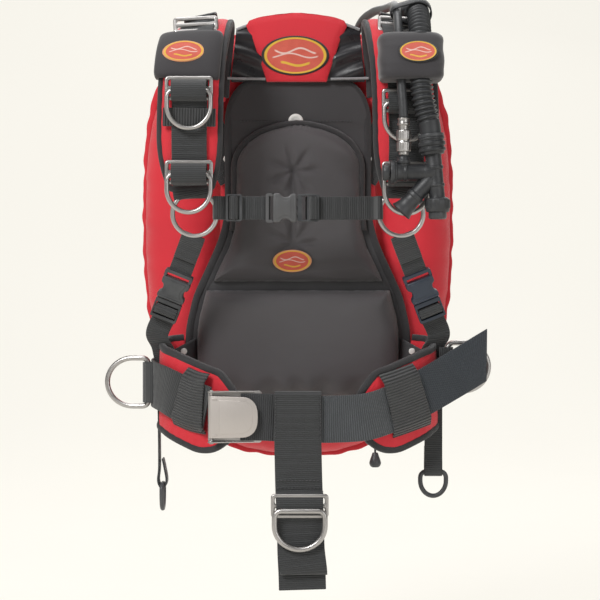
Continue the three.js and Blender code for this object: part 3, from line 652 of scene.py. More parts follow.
upper_edge = [
    (-279, 96), (-270, 92.5), (-255, 85.5), (-240, 78), (-222, 73), (-190, 71), (-150, 71), (-141, 69.5),
    (-131, 65), (-121, 57), (-112, 44), (-106, 29), (-102.5, 14), (-101, 1.0),
]
x, z = rows_of(upper_edge, -279, -101, 150, 96)
d = edge_distance(upper_edge, x, z)
rise = 18.4 * (1 - (1 - np.clip(d / 30, 0, 1)) ** 2.4) ** (1 / 2.4)
seam = np.clip((z + 232) / 8, 0, 1) * np.clip((-148 - z) / 8, 0, 1)
rise -= 4.2 * seam * np.exp(-(((x + 5) / 2.0) ** 2))
rise += 1.4 * seam * np.exp(-(((np.abs(x + 5) - 8) / 6) ** 2))
for tuft in (-154, -236):
    r = np.hypot(x + 5, z - tuft)
    spoke = np.cos(7 * np.arctan2(z - tuft, x + 5))
    rise -= 5.0 * np.exp(-((r / 9) ** 2)) + 3.2 * (0.5 + 0.5 * spoke) ** 2 * np.exp(-(((r - 16) / 12) ** 2))
rise += 1.9 * np.sin((z + 0.45 * np.abs(x)) / 6.3) * np.exp(-d / 17) * np.clip(d / 6, 0, 1)
rise += 1.7 * np.sin(x / 19 + 1.1) * np.sin(z / 27 + 0.6) * np.clip(d / 14, 0, 1)
rise -= 3.6 * np.exp(-(((z + 262 - 0.0011 * x**2) / 5) ** 2)) * np.clip(d / 9, 0, 1) * 0.35
upper_pad = cushion("upper_back_cushion", x, z, 35.2 - np.maximum(rise, 0.4), 35.6, pad_nylon)
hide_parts("upper_back_pad")

lumbar_edge = [
    (-410, 74), (-407.5, 88), (-401, 99), (-392, 107), (-380, 112), (-370, 114), (-335, 114), (-318, 111.5),
    (-303, 107.5), (-289, 104),
]
x, z = rows_of(lumbar_edge, -410, -289, 96, 84)
d = edge_distance(lumbar_edge, x, z)
rise = 24.6 * (1 - (1 - np.clip(d / 26, 0, 1)) ** 2.5) ** (1 / 2.5)
rise += 1.6 * np.sin(x / 23 + 0.5) * np.sin(z / 19 + 1.9) * np.clip(d / 14, 0, 1)
rise -= 5.0 * (
    0.5 + 0.5 * np.cos(x / 5.2 + 0.7 * np.sin(x / 17))
) * np.exp(-(((z + 402) / 13) ** 2)) * np.clip(d / 5, 0, 1)
rise += 1.0 * np.sin((z - 0.5 * np.abs(x)) / 7.1) * np.exp(-d / 15) * np.clip(d / 6, 0, 1)
lumbar_pad = cushion("lumbar_cushion", x, z, 35.2 - np.maximum(rise, 0.4), 35.6, pad_nylon)
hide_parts("lumbar_pad")

thread = Finish("sewing_thread", roughness=0.6)
ply = thread.noise(thread.place(), 700.0)
thread.shade({"Base Color": thread.mix(ply, (0.035, 0.034, 0.037), (0.10, 0.098, 0.104))})


def stitches(name, line, lift, finish=thread, length=2.6, gap=1.3, body="root"):
    """A row of short thread loops along a line of points, standing proud by lift (a vector in mm)."""
    line = np.array(line, float)
    run = np.concatenate([[0], np.cumsum(np.linalg.norm(np.diff(line, axis=0), axis=1))])
    verts, faces = [], []
    for k in range(int(run[-1] / (length + gap))):
        ends = [
            np.array([np.interp(k * (length + gap) + d, run, line[:, c]) for c in range(3)])
            for d in (0, length)
        ]
        along = unit(ends[1] - ends[0])
        up = unit(np.array(lift, float) - along * (np.array(lift) @ along))
        out = np.cross(along, up)
        base = len(verts)
        for share, swell in ((0, 0.3), (0.3, 1.0), (0.7, 1.0), (1, 0.3)):
            at = ends[0] + (ends[1] - ends[0]) * share + np.array(lift) * (0.3 + 0.7 * (swell > 0.5))
            verts += [
                at + out * 0.42 * swell, at + up * 0.42 * swell, at - out * 0.42 * swell,
                at - up * 0.42 * swell
            ]
        for s in range(3):
            for c in range(4):
                a, b = base + s * 4 + c, base + s * 4 + (c + 1) % 4
                faces.append((a, b, b + 4, a + 4))
        faces += [(base + 3, base + 2, base + 1, base), (base + 12, base + 13, base + 14, base + 15)]
    made = skin(name, verts, faces, finish, body)
    solid = bmesh.new()
    solid.from_mesh(made.data)
    bmesh.ops.recalc_face_normals(solid, faces=solid.faces)
    solid.to_mesh(made.data)
    solid.free()
    return made


top_arch = [(w, 35.2, z) for z, w in upper_edge[4:]]
arch = np.array(top_arch + [(-a, b, c) for a, b, c in top_arch[::-1]])
arch_line, way = route_through(arch, 120)
tube("upper_pad_piping", arch_line * (1.012, 1, 1) + (0, -3.0, 1.2), way, 4.3, binding, sides=14)
stitches("upper_panel_stitches", [(x, 34.5, -96.5) for x in np.linspace(-66, 66, 12)], (0, -0.8, 0))
stitches(
    "lumbar_band_stitches", [(x, 34.6, -284 - 1.0 * math.cos(x / 60)) for x in np.linspace(-98, 98, 12)],
    (0, -0.8, 0)
)
band = cushion(
    "lumbar_seam_band", *rows_of([(-291, 105), (-277, 97)], -291, -277, 8, 60),
    np.full((8, 60), 33.2) + 0.4 * np.sin(np.linspace(0, 30, 60))[None], 35.6, black_nylon,
)

grommet = Finish("grommet_plastic", roughness=0.4)
smudge = grommet.noise(grommet.place(), 80.0)
grommet.shade({"Base Color": grommet.mix(smudge, (0.62, 0.61, 0.58), (0.80, 0.79, 0.76))})
for k, (x, y, z, r) in enumerate(((-2.5, 35.2, -96.5, 8.6), (-81, 38, -139, 4.2), (80, 38, -139, 4.2))):
    turned(
        "grommet_%d" % k,
        [(-0.6, r), (0.9, r), (1.7, r * 0.86), (1.9, r * 0.62), (1.3, r * 0.5), (0.8, r * 0.3), (0.8, 0)],
        (x, y, z), (0, -1, 0), grommet,
    )

# ---------------------------------------------------------------------------------------------------------
# Emblems. Embroidered oval patches, hemmed all round: a dark or pale rim, a yellow ring and a coral field
# with plain wave strokes on it. They are sewn on the collar, the strap wraps and the back.


def emblem_finish(name, rim):
    made = Finish(name, roughness=0.62, sheen_weight=0.2)
    u, v = made.uv()
    r = made.node("Math", {"operation": "SQRT"}, {0: u * u + v * v})
    satin = ((u * 0.8 + v) * 260.0).wave()
    field = made.mix(made.noise(made.place(), 90.0), (0.62, 0.085, 0.050), (0.80, 0.145, 0.095))
    yellow = (0.86, 0.52, 0.045)
    crest = (u * 6.5 + 0.6).wave() * 0.13 + 0.24
    swell = (u * 5.2 + 2.4).wave() * 0.11
    low = (u * 6.0 + 4.2).wave() * 0.09 - 0.42
    for wave, width, reach, ink in (
        (crest, 0.045, 0.60, (0.88, 0.62, 0.55)), (swell, 0.035, 0.66, (0.88, 0.62, 0.55)),
        (low, 0.06, 0.42, yellow),
    ):
        gap = made.node("Math", {"operation": "ABSOLUTE"}, {0: v - wave})
        far = made.node("Math", {"operation": "ABSOLUTE"}, {0: u})
        field = made.mix(gap.below(width, 0.015) * far.below(reach, 0.03), field, ink)
    ringed = made.mix(r.above(0.835, 0.012), field, yellow)
    made.shade(
        {
            "Base Color": made.mix(
                satin * 0.1 + 0.1, made.mix(r.above(0.915, 0.012), ringed, rim), (0.02, 0.01, 0.01)
            )
        }
    )
    made.bump(satin, 0.0003, 0.5)
    return made


dark_emblem = emblem_finish("emblem_dark_rim", (0.012, 0.012, 0.013))
pale_emblem = emblem_finish("emblem_pale_rim", (0.84, 0.36, 0.16))


def emblem(name, centre, right, up, wide, high, finish, lay=None, body="root"):
    """An oval patch. lay bends it back to lie on its ground: mm of fall at (across, up)."""
    right, up = unit(right), unit(up)
    out = np.cross(right, up)
    turn = np.arange(56) / 56 * 2 * math.pi
    verts, uv, faces = [], [], []
    steps = [
        (0.0, 1.5), (0.25, 1.5), (0.5, 1.45), (0.7, 1.4), (0.83, 1.3), (0.9, 1.65), (0.96, 1.5), (1.0, 0.9),
        (1.0, -0.4)
    ]
    for share, lift in steps[1:]:
        for a in turn:
            s, t = share * math.cos(a), share * math.sin(a)
            fall = lay(s * wide, t * high) if lay else 0
            verts.append(np.array(centre) + right * s * wide + up * t * high + out * (lift - fall))
            uv.append((s * 1000, t * 1000))
    count = len(steps) - 1
    verts.append(np.array(centre) + out * (1.5 - (lay(0, 0) if lay else 0)))
    uv.append((0, 0))
    for k in range(56):
        h = (k + 1) % 56
        faces.append((len(verts) - 1, k, h))
        for s in range(count - 1):
            faces.append((s * 56 + k, (s + 1) * 56 + k, (s + 1) * 56 + h, s * 56 + h))
    corners = [uv[c] for f in faces for c in f]
    return skin(name, verts, faces, finish, body, corners)


emblem("back_emblem", (-6.5, 17.2, -256), (1, 0, 0), (0, -0.05, 1), 22, 12.6, pale_emblem)

# ---------------------------------------------------------------------------------------------------------
# Collar. A stiff red nylon yoke closes the neck above the back panel. Gathered black wedges with a piped
# top edge lie on either side of it, and a thin grey cord holds their lower edges.
u = np.linspace(-1, 1, 150)
v = np.linspace(0, 1, 44)
across, up = np.meshgrid(u, v, indexing="ij")
crown = 25 - 17 * np.abs(across) ** 1.7
x = across * (76 - 6 * up)
z = -51.4 + up * (crown + 51.4)
wedge = np.clip((np.abs(across) - 0.45) / 0.12, 0, 1)
fan = (np.abs(x) - 34) * 0.05 - up * 6.4
gathers = 2.6 * np.sin(fan * 2.6) * wedge * np.sin(np.clip(up, 0, 1) * math.pi) ** 0.6
front = 33.2 - 2.6 * np.sin(up * math.pi) ** 0.5 - gathers - 1.4 * wedge * np.sin(up * math.pi)
gloss_nylon = Finish("glossy_black_nylon", roughness=0.28, sheen_weight=0.1)
ripple = gloss_nylon.noise(gloss_nylon.place(), 46.0, 4.0)
gloss_nylon.shade({
    "Base Color": gloss_nylon.mix(ripple, (0.008, 0.008, 0.010), (0.024, 0.023, 0.027)),
    "Roughness": ripple * 0.3 + 0.16,
})
gloss_nylon.bump(ripple, 0.0005, 0.5)
yoke = cushion("collar_wedges", x, z, front, 40.0, gloss_nylon)
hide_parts("collar_yoke")

shape = [
    (-52, 34), (-44, 36.5), (-30, 41), (-19, 45), (-3, 50), (4, 54), (10.7, 57.5), (17, 54), (21, 43),
    (24, 24), (26, 4)
]
x, z = rows_of(shape, -52, 26, 60, 48)
d = edge_distance(shape, x, z)
front = 29.4 - 2.6 * np.clip(d / 7, 0, 1) ** 0.5 + 0.5 * np.sin(x / 16) * np.sin(z / 21) * np.clip(
    d / 12, 0, 1
)
red_yoke = cushion("collar_red_yoke", x - 1.5, z, front, 37.0, red_nylon)
emblem("collar_emblem", (-3.0, 27.0, -23), (1, 0, 0), (0, 0, 1), 38.5, 22.5, dark_emblem)
grey_cord = Finish("grey_cord", roughness=0.5)
twist = grey_cord.noise(grey_cord.place(), 500.0)
grey_cord.shade({"Base Color": grey_cord.mix(twist, (0.16, 0.16, 0.165), (0.34, 0.34, 0.35))})
for name, s in (("left", 1), ("right", -1)):
    wire(
        "collar_lower_piping_" + name, [(s * x, 28.5, -50 + 0.02 * x) for x in np.linspace(37, 80, 9)], 1.5,
        grey_cord, cyclic=False
    )
    edge = [(s * x, 31.0, 24.0 - 17 * (x / 70) ** 1.7) for x in np.linspace(44, 70, 12)]
    wire("collar_top_piping_" + name, edge, 1.7, grey_cord, cyclic=False)

# ---------------------------------------------------------------------------------------------------------
# Shoulder straps. Foam pads in red nylon, bound all round with black tape, run from behind the shoulders over
# the crest and down the chest. Flat 38 mm webbing lies on each, held by steel slides that carry D-rings.
NARROW_WEB, STRAP_WEB, WIDE_WEB = 25.4, 38, 50.8
webbing = Finish("nylon_webbing", roughness=0.62, sheen_weight=0.25)
u, v = webbing.uv()
pitch = 2 * math.pi / 0.0024
twill = ((u + v) * pitch).wave() * ((u - v) * pitch).wave()
cross = (v * (2 * math.pi / 0.0021)).wave()
worn = webbing.noise(webbing.place(), 40.0, 5.0, 0.6)
webbing.shade({
    "Base Color": webbing.mix(
        twill * 0.35 + cross * 0.2 + worn * 0.5, (0.011, 0.012, 0.013), (0.052, 0.055, 0.058)),
    "Roughness": worn * 0.25 + 0.5,
})
webbing.bump(twill * 0.5 + cross * 0.6, 0.0005, 0.8)


def ribbon(name, line, way, across, wide, thick, finish, body="root", lanes=4):
    """Flat webbing along stations: a strip with its own thickness and soft edges, UV across and along it."""
    line, way = np.asarray(line, float), np.asarray(way, float)
    side = np.broadcast_to(np.asarray(across, float), line.shape)
    side = unit(side - way * (side * way).sum(1)[:, None])
    wide = np.broadcast_to(wide, len(line))
    share = np.linspace(-0.5, 0.5, lanes + 1)
    run = np.concatenate([[0], np.cumsum(np.linalg.norm(np.diff(line, axis=0), axis=1))])
    points = line[:, None] + side[:, None] * (share[None, :, None] * wide[:, None, None])
    faces, uv, m = [], [], lanes + 1
    for i in range(len(line) - 1):
        for j in range(lanes):
            faces.append((i * m + j, i * m + j + 1, (i + 1) * m + j + 1, (i + 1) * m + j))
            a, b = share[j] * wide[i], share[j + 1] * wide[i]
            uv += [(a, run[i]), (b, run[i]), (b, run[i + 1]), (a, run[i + 1])]
    made = skin(name, points.reshape(-1, 3), faces, finish, body, uv)
    softened(walled(made, thick), thick * 0.35, 2, 50)
    return made


def straight(a, b, count=12):
    a, b = np.array(a, float), np.array(b, float)
    return a + (b - a) * np.linspace(0, 1, count)[:, None], np.tile(unit(b - a), (count, 1))


def moved(piece, matrix):
    """Gives a piece made at its own origin its place, matrix in mm."""
    scaled = Matrix(matrix)
    scaled.translation = scaled.translation / 1000
    piece.data.transform(scaled)
    return piece


def at(x, y, z):
    return Matrix.Translation((x, y, z))


def lattice(name, xs, zs, holes, thick, finish, body="root", corner=2.0, bevel=0.7):
    """A flat moulding or stamping in the XZ plane: a grid with some cells open and its corners rounded."""
    flat = bmesh.new()
    spots = {
        (i, k): flat.verts.new((x / 1000, 0, z / 1000))
        for i, x in enumerate(xs) for k, z in enumerate(zs)
    }
    for i in range(len(xs) - 1):
        for k in range(len(zs) - 1):
            if (i, k) not in holes:
                flat.faces.new([spots[i, k], spots[i + 1, k], spots[i + 1, k + 1], spots[i, k + 1]])
    bmesh.ops.delete(flat, geom=[q for q in flat.verts if not q.link_faces], context="VERTS")
    if corner:
        tips = [q for q in flat.verts if len(q.link_edges) == 2]
        bmesh.ops.bevel(flat, geom=tips, offset=corner / 1000, segments=4, affect="VERTICES", profile=0.5)
    mesh = bpy.data.meshes.new(name)
    flat.to_mesh(mesh)
    flat.free()
    mesh.materials.append(finish.material)
    made = bpy.data.objects.new(name, mesh)
    bpy.context.scene.collection.objects.link(made)
    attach(made, body)
    softened(walled(made, thick), bevel, 3, 40)
    mesh.shade_smooth()
    return made


def three_bar_slide(name, wide, high, finish, matrix, body="root", wire_size=4.2):
    w, h, b = wide / 2, high / 2, wire_size
    xs = (-w, b - w, w - b, w)
    zs = (-h, b - h, -b / 2, b / 2, h - b, h)
    made = lattice(name, xs, zs, {(1, 1), (1, 3)}, 3.6, finish, body, corner=4.0, bevel=1.5)
    return moved(made, matrix)


def d_points(wide, deep, wire_size, corner=7.0):
    """The centre line of a D-ring as (x, z): its bar at the top along X, its bow below."""
    w, d = wide / 2 - wire_size, deep - wire_size
    bow = d * 0.62
    turn = np.linspace(math.pi / 2, math.pi, 6)
    left = [(-w + corner + corner * math.cos(a), -corner + corner * math.sin(a)) for a in turn]
    under = [(w * math.cos(a), bow - d + bow * math.sin(a)) for a in np.linspace(math.pi, 2 * math.pi, 26)]
    right = [(-x, z) for x, z in left[::-1]]
    return [(0, 0), *left, *under, *right]


def d_ring(name, wide, deep, wire_size, matrix, node, finish=steel):
    spots = [matrix @ Vector((x, 0, z)) for x, z in d_points(wide, deep, wire_size)]
    made = wire(name, spots, wire_size, finish, node)
    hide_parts(node)
    return made


def shoulder_route(s):
    return [
        (s * 114.5, 35, -72), (s * 112, 34, -34), (s * 108, 22, -8), (s * 106, 2, 2), (s * 108, -22, -5),
        (s * 111, -40, -20), (s * 114, -52, -42), (s * 116, -58, -75), (s * 117, -60, -130),
        (s * 116, -56, -176),
    ]


neoprene = Finish("neoprene", roughness=0.78, sheen_weight=0.3)
nap = neoprene.noise(neoprene.place(), 800.0, 2.0)
soft = neoprene.noise(neoprene.place(), 22.0, 4.0)
neoprene.shade(
    {"Base Color": neoprene.mix(nap * 0.3 + soft * 0.6, (0.015, 0.013, 0.015), (0.040, 0.036, 0.040))}
)
neoprene.bump(nap * 0.4 + soft * 1.6, 0.0005, 0.7)
elastic = Finish("ribbed_elastic", roughness=0.7, sheen_weight=0.2)
u, v = elastic.uv()
rib = (u * (2 * math.pi / 0.0030)).wave()
knit = (v * (2 * math.pi / 0.0011)).wave() * (u * (2 * math.pi / 0.0015)).wave()
fibre = elastic.noise(elastic.place(), 60.0, 4.0)
elastic.shade(
    {
        "Base Color": elastic.mix(
            rib * 0.32 + fibre * 0.4 + 0.25, (0.009, 0.0095, 0.010), (0.070, 0.072, 0.074)
        )
    }
)
elastic.bump(rib + knit * 0.3, 0.0011, 0.9)


def sleeve(name, line, way, face, left, right, front, back, finish, power=0.42, body="root"):
    """A soft sleeve round a strap, as a rounded tube that reaches left, right, front and back of its line."""
    side = np.cross(face, way)
    turn = np.arange(36) / 36 * 2 * math.pi
    c = blunt(np.cos(turn), power)
    s = blunt(np.sin(turn), power)
    wide, deep = np.where(c > 0, right, left), np.where(s > 0, front, back)
    rings = []
    for k, (p, f, q) in enumerate(zip(line, face, side)):
        end = min(k, len(line) - 1 - k)
        tuck = 1.0 if end > 2 else (0.90, 0.965, 0.99)[end]
        rings.append(p + (c * wide * (0.5 + tuck / 2))[:, None] * q + (s * deep * tuck)[:, None] * f)
    return loft(name, rings, finish, body)


STATIONS = 140
for name, s in (("left", 1), ("right", -1)):
    line, way = route_through(shoulder_route(s), STATIONS)
    t = np.linspace(0, 1, STATIONS)
    roll = 0.22 * np.exp(-(((t - 0.34) / 0.24) ** 2))
    wide = np.stack([np.cos(roll), 0 * t, -s * np.sin(roll)], 1)
    side = unit(wide - way * (wide * way).sum(1)[:, None])
    face = np.cross(way, side)
    span = 66 * np.where(t < 0.82, 1, 1 - 0.28 * ((t - 0.82) / 0.18) ** 2)
    turn = np.arange(44) / 44 * 2 * math.pi
    c = blunt(np.cos(turn), 0.55)
    e = blunt(np.sin(turn), 0.75)
    rings = []
    for k in range(STATIONS):
        end = min(k, STATIONS - 1 - k)
        tuck = 1 if end > 3 else (0.55, 0.8, 0.93, 0.98)[end]
        ripple = 0.5 * math.sin(k * 0.83) * np.abs(c) ** 5
        deep = np.where(e > 0, 8.0, 6.0) * tuck
        rings.append(
            line[k] + (
                c * (span[k] / 2 - 1.2)
            )[:, None] * side[k] + (e * (deep + ripple))[:, None] * face[k]
        )
    pad = loft("shoulder_cushion_" + name, rings, red_nylon)
    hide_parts("shoulder_pad_" + name)

    over = slice(2, STATIONS)
    down = line[over] - side[over] * (span[over] / 2 - 1)[:, None]
    back = (line[over] + side[over] * (span[over] / 2 - 1)[:, None])[::-1]
    tip, run = line[-1], span[-1] / 2 - 1
    bend = [
        tip - side[-1] * run * blunt(math.cos(a), 0.5) + way[-1] * 3.5 * math.sin(a) ** 0.6
        for a in np.linspace(0.25, math.pi - 0.25, 9)
    ]
    edge = np.concatenate([down[:-1], bend, back[1:]])
    edge_way = unit(np.gradient(edge, axis=0))
    flat = np.concatenate([-side[over][:-1], np.tile(way[-1], (9, 1)), side[over][::-1][1:]])
    tape = oval_tube("shoulder_binding_" + name, edge, edge_way, 3.9, 4.3, flat, binding, closed=False)

    lift = 8.6 + 1.6 * np.clip((t - 0.2) / 0.1, 0, 1)
    first = 30
    web = ribbon(
        "shoulder_webbing_" + name, (line + face * lift[:, None])[first:], way[first:], side[first:], 38,
        2.2, webbing
    )
    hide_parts("shoulder_web_" + name)

    if s < 0:
        here = slice(int(STATIONS * 0.438), int(STATIONS * 0.628))
        wrap = sleeve("strap_wrap_right", line[here], way[here], face[here], 41, 31, 13.6, 7.6, neoprene)
        k = int(STATIONS * 0.535)
        emblem(
            "wrap_emblem_right", line[k] + face[k] * 14.0 - side[k] * 9.5, side[k] - 0.08 * way[k], -way[k],
            23.2, 13.2, pale_emblem, lay=lambda a, b: 0.006 * b * b + 0.004 * a * a)
    else:
        level = np.linspace(-14, -66, 34)
        fore = np.interp(-level, (12, 30, 50, 68), (-90, -101, -109, -112.5))
        rear = np.interp(-level, (12, 30, 50, 68), (-27, -38, -46, -49.5))
        turn = np.arange(48) / 48 * 2 * math.pi
        c = blunt(np.cos(turn), 0.5)
        e = blunt(np.sin(turn), 0.5)
        rings = []
        for k, z in enumerate(level):
            end = min(k, 33 - k)
            tuck = (0.86, 0.93, 0.965, 0.985, 0.995)[end] if end < 5 else 1.0
            deep = (rear[k] - fore[k]) / 2 * tuck
            x = 121 + c * (35 + 0.5 * math.sin(z / 4)) * tuck
            rings.append(np.stack([x, (rear[k] + fore[k]) / 2 + e * deep, z + 0 * x], 1))
        wrap = loft("strap_wrap_left", rings, neoprene)
        emblem("wrap_emblem_left", (127, -104.6, -38), (1, 0, 0), (0, 0.4, 0.92), 21, 13.2, dark_emblem)
    for level in ("upper", "lower"):
        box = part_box("%s_slide_%s" % (level, name))
        centre = [(a + b) / 2 * 1000 for a, b in zip(*box)]
        slide = three_bar_slide("%s_slide_steel_%s" % (level, name), 52, 26, steel, at(*centre))
        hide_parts("%s_slide_%s" % (level, name))
        node = "%s_dring_%s" % (level, name)
        low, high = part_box(node)
        hang = at((low[0] + high[0]) * 500, (low[1] + high[1]) * 500, high[2] * 1000 - 2.5)
        d_ring(node + "_wire", 52, 43, 2.5, hang, node)
        z = centre[2]
        roll = (
            (1.5, 9.0), (-3.6, 7.6), (-7.8, 3.4), (-9.2, -2.5), (-8.2, -8.4), (-3.8, -12.4), (1.6, -13.0)
        )
        run, run_way = route_through([(centre[0], centre[1] + y, z + up) for y, up in roll], 34)
        ribbon("%s_slide_web_%s" % (level, name), run, run_way, (1, 0, 0), STRAP_WEB, 2.0, webbing)
    if s < 0:
        here = slice(int(STATIONS * 0.725), int(STATIONS * 0.793))
        side_off = line[here] + face[here] * 11.8
        keeper = ribbon(
            "shoulder_keeper_" + name, side_off, way[here], side[here], 57, 2.6, elastic, lanes=8,
        )
    k = int(STATIONS * 0.336)
    frame_at = at(s * 112, -35, 2) @ Matrix.Rotation(
        math.radians(-28), 4, "X"
    ) @ Matrix.Rotation(s * 0.07, 4, "Y")
    top = three_bar_slide("crest_slide_" + name, 49, 21, steel, frame_at)
    tail = line[k - 9: k + 3] + face[k - 9: k + 3] * np.linspace(13.5, 15.5, 12)[:, None]
    ribbon(
        "crest_web_tail_" + name, tail, unit(np.gradient(tail, axis=0)), side[k - 9: k + 3], STRAP_WEB, 2.2,
        webbing
    )
    a = np.linspace(0, 2 * math.pi, 64, endpoint=False)
    low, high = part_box("harness_ring_" + name)
    cx, cy, cz = ((p + q) * 500 for p, q in zip(low, high))
    ring = wire(
        "harness_ring_wire_" + name, [(cx + 24 * math.cos(q), cy, cz + 24 * math.sin(q)) for q in a], 2.5,
        steel
    )
    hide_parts("harness_ring_" + name)
    tab = [(s * 116, -58, -169), (s * 116, -58.5, -177), (s * 115, -58.6, -185), (s * 114, -56, -189),
           (s * 114, -52.8, -187.5), (s * 115, -50.4, -181), (s * 115.5, -50, -171)]
    run, run_way = route_through(tab, 40)
    ribbon("ring_tab_" + name, run, run_way, (1, 0, 0), 40, 2.2, webbing)
    behind = [
        (s * 114, 37.5, -58), (s * 111, 41.5, -80), (s * 100, 42.4, -110), (s * 84, 42.2, -140),
        (s * 72, 42, -160)
    ]
    run, run_way = route_through(behind, 40)
    ribbon("shoulder_anchor_web_" + name, run, run_way, (1, 0, 0), STRAP_WEB, 2.2, webbing)

# ---------------------------------------------------------------------------------------------------------
# Chest strap. 25 mm webbing sewn round the two rings, with a three-bar slide and a moulded side-release
# buckle in the middle. The male half has two web bars and is the half that pulls out.
CHEST_Z = -200
clip_plastic = Finish("buckle_plastic", roughness=0.4)
stipple = clip_plastic.noise(clip_plastic.place(), 1100.0, 2.0)
rubbed = clip_plastic.noise(clip_plastic.place(), 30.0, 5.0, 0.6)
clip_plastic.shade({
    "Base Color": clip_plastic.mix(rubbed.above(0.54, 0.16), (0.030, 0.032, 0.035), (0.075, 0.077, 0.080)),
    "Roughness": stipple * 0.22 + rubbed * 0.15 + 0.24,
})
clip_plastic.bump(stipple, 0.00015, 0.6)


def plate_of(name, outline, thick, finish, body="root", bevel=1.2, y=0.0):
    """A moulding cut to an outline of (x, z) points, thick through Y and centred on y, its edges rounded."""
    mesh = bpy.data.meshes.new(name)
    mesh.from_pydata([(x / 1000, y / 1000, z / 1000) for x, z in outline], [], [tuple(range(len(outline)))])
    mesh.materials.append(finish.material)
    made = bpy.data.objects.new(name, mesh)
    bpy.context.scene.collection.objects.link(made)
    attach(made, body)
    softened(walled(made, thick), bevel, 3, 30)
    mesh.shade_smooth()
    return made


def mirrored(half):
    return half + [(x, -z) for x, z in half[::-1]]


def side_release(prefix, female_node, male_node, male_body, matrix, female_finish, male_finish):
    """Both halves of a buckle. Local +X runs from the female half to the male half, -Y faces out."""
    half = [
        (-26, 15.5), (-22, 16), (-18, 15.6), (-16.5, 12.6), (-13.5, 11.8), (-9, 12.2), (-7, 15.0),
        (-3, 15.8), (-0.3, 14.6)
    ]
    body = plate_of(prefix + "_female_body", mirrored(half), 9.8, female_finish, bevel=1.6)
    bars = lattice(
        prefix + "_female_bars", (-34, -30.5, -25), (-16, -12.8, 12.8, 16), {(1, 1)}, 7.6, female_finish,
        corner=2.2, bevel=1.3
    )
    panel = plate_of(
        prefix + "_female_panel",
        mirrored([(-23.5, 11.5), (-18.5, 10.5), (-15, 8.2), (-10, 8.2), (-6.5, 11)]), 1.0, female_finish,
        bevel=0.45, y=-5.0
    )
    lip = plate_of(
        prefix + "_female_lip", mirrored([(-3.4, 13.6), (-1.4, 13.6)]), 0.9, female_finish, bevel=0.4,
        y=-5.0
    )
    for half_piece in (body, bars, panel, lip):
        moved(half_piece, matrix)
    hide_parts(female_node)
    ladder = lattice(
        prefix + "_male_ladder", (0.6, 5.6, 11.2, 14.8, 20.2, 23.8), (-15, -13, 13, 15), {(1, 1), (3, 1)},
        6.0, male_finish, male_body, corner=2.2, bevel=1.2
    )
    prongs = [
        plate_of(
            prefix + "_male_tongue", mirrored([(-18, 1.2), (-16, 2.3), (1.0, 2.3)]), 4.2, male_finish,
            male_body, 0.6
        )
    ]
    for k, s in enumerate((1, -1)):
        arm = [
            (-18, 8.6), (-15.5, 11.0), (-8.5, 11.3), (-7, 9.4), (1.0, 10.6), (1.0, 7.8), (-8, 6.6),
            (-17, 7.0)
        ]
        prongs.append(
            plate_of(
                "%s_male_prong_%d" % (prefix, k), [(x, s * z) for x, z in arm], 4.4, male_finish, male_body,
                0.7
            )
        )
    for half_piece in (ladder, *prongs):
        moved(half_piece, matrix)
    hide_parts(male_node)


blue_plastic = Finish("buckle_plastic_navy", roughness=0.4)
tint = blue_plastic.noise(blue_plastic.place(), 26.0, 4.0)
grit = blue_plastic.noise(blue_plastic.place(), 1100.0, 2.0)
blue_plastic.shade({"Base Color": blue_plastic.mix(tint, (0.010, 0.015, 0.026), (0.028, 0.040, 0.062))})
blue_plastic.bump(grit, 0.00015, 0.6)
grey_plastic = Finish("buckle_plastic_grey", roughness=0.42)
tint = grey_plastic.noise(grey_plastic.place(), 26.0, 4.0)
grit = grey_plastic.noise(grey_plastic.place(), 1100.0, 2.0)
grey_plastic.shade({"Base Color": grey_plastic.mix(tint, (0.060, 0.060, 0.062), (0.100, 0.100, 0.102))})
grey_plastic.bump(grit, 0.00015, 0.6)

side_release(
    "chest_clip", "chest_clip_female", "chest_clip_male", "chest_clip_male", at(-1, -50, CHEST_Z),
    grey_plastic, clip_plastic
)
run, run_way = straight((-87.5, -50, CHEST_Z), (-30, -50, CHEST_Z), 40)
web = ribbon("chest_webbing_right", run, run_way, (0, 0, 1), NARROW_WEB, 2.2, webbing)
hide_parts("chest_web_right")
run, run_way = straight((8, -45.4, CHEST_Z), (87.5, -45.4, CHEST_Z), 40)
web = ribbon("chest_webbing_left", run, run_way, (0, 0, 1), NARROW_WEB, 2.2, webbing)
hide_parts("chest_web_left")
for name, s in (("left", 1), ("right", -1)):
    y = -45.4 if s > 0 else -50
    rear = y + (2.6 if s < 0 else 0.2)
    loop = [(66, y - 3), (82, y - 3.2), (88.5, -57.5), (91.6, -54), (89.5, -50.2), (84, rear), (66, y + 2.8)]
    tab = [(s * x, deep, CHEST_Z) for x, deep in loop]
    run, run_way = route_through(tab, 44)
    ribbon("chest_ring_tab_" + name, run, run_way, (0, 0, 1), NARROW_WEB, 2.0, webbing)
glide = lattice(
    "chest_slide", (-9, -6.2, -1.4, 1.4, 6.2, 9), (-14.6, -13, 13, 14.6), {(1, 1), (3, 1)}, 4.0,
    clip_plastic, corner=1.8, bevel=1.0
)
moved(glide, at(-69.5, -54.0, CHEST_Z))
run, run_way = route_through(
    [
        (-80, -52.6, CHEST_Z), (-74, -53.0, CHEST_Z), (-71.5, -56.8, CHEST_Z), (-67.5, -56.8, CHEST_Z),
        (-65, -53, CHEST_Z), (-60, -52.4, CHEST_Z)
    ],
    34
)
ribbon("chest_slide_web", run, run_way, (0, 0, 1), 25.0, 1.9, webbing)
male_web = [(12.8, -46.6, CHEST_Z), (14, -54.6, CHEST_Z), (17.5, -55.2, CHEST_Z), (20.4, -54, CHEST_Z)]
run, run_way = route_through(male_web, 26)
ribbon("chest_male_web", run, run_way, (0, 0, 1), 25.0, 1.7, webbing, "chest_clip_male")

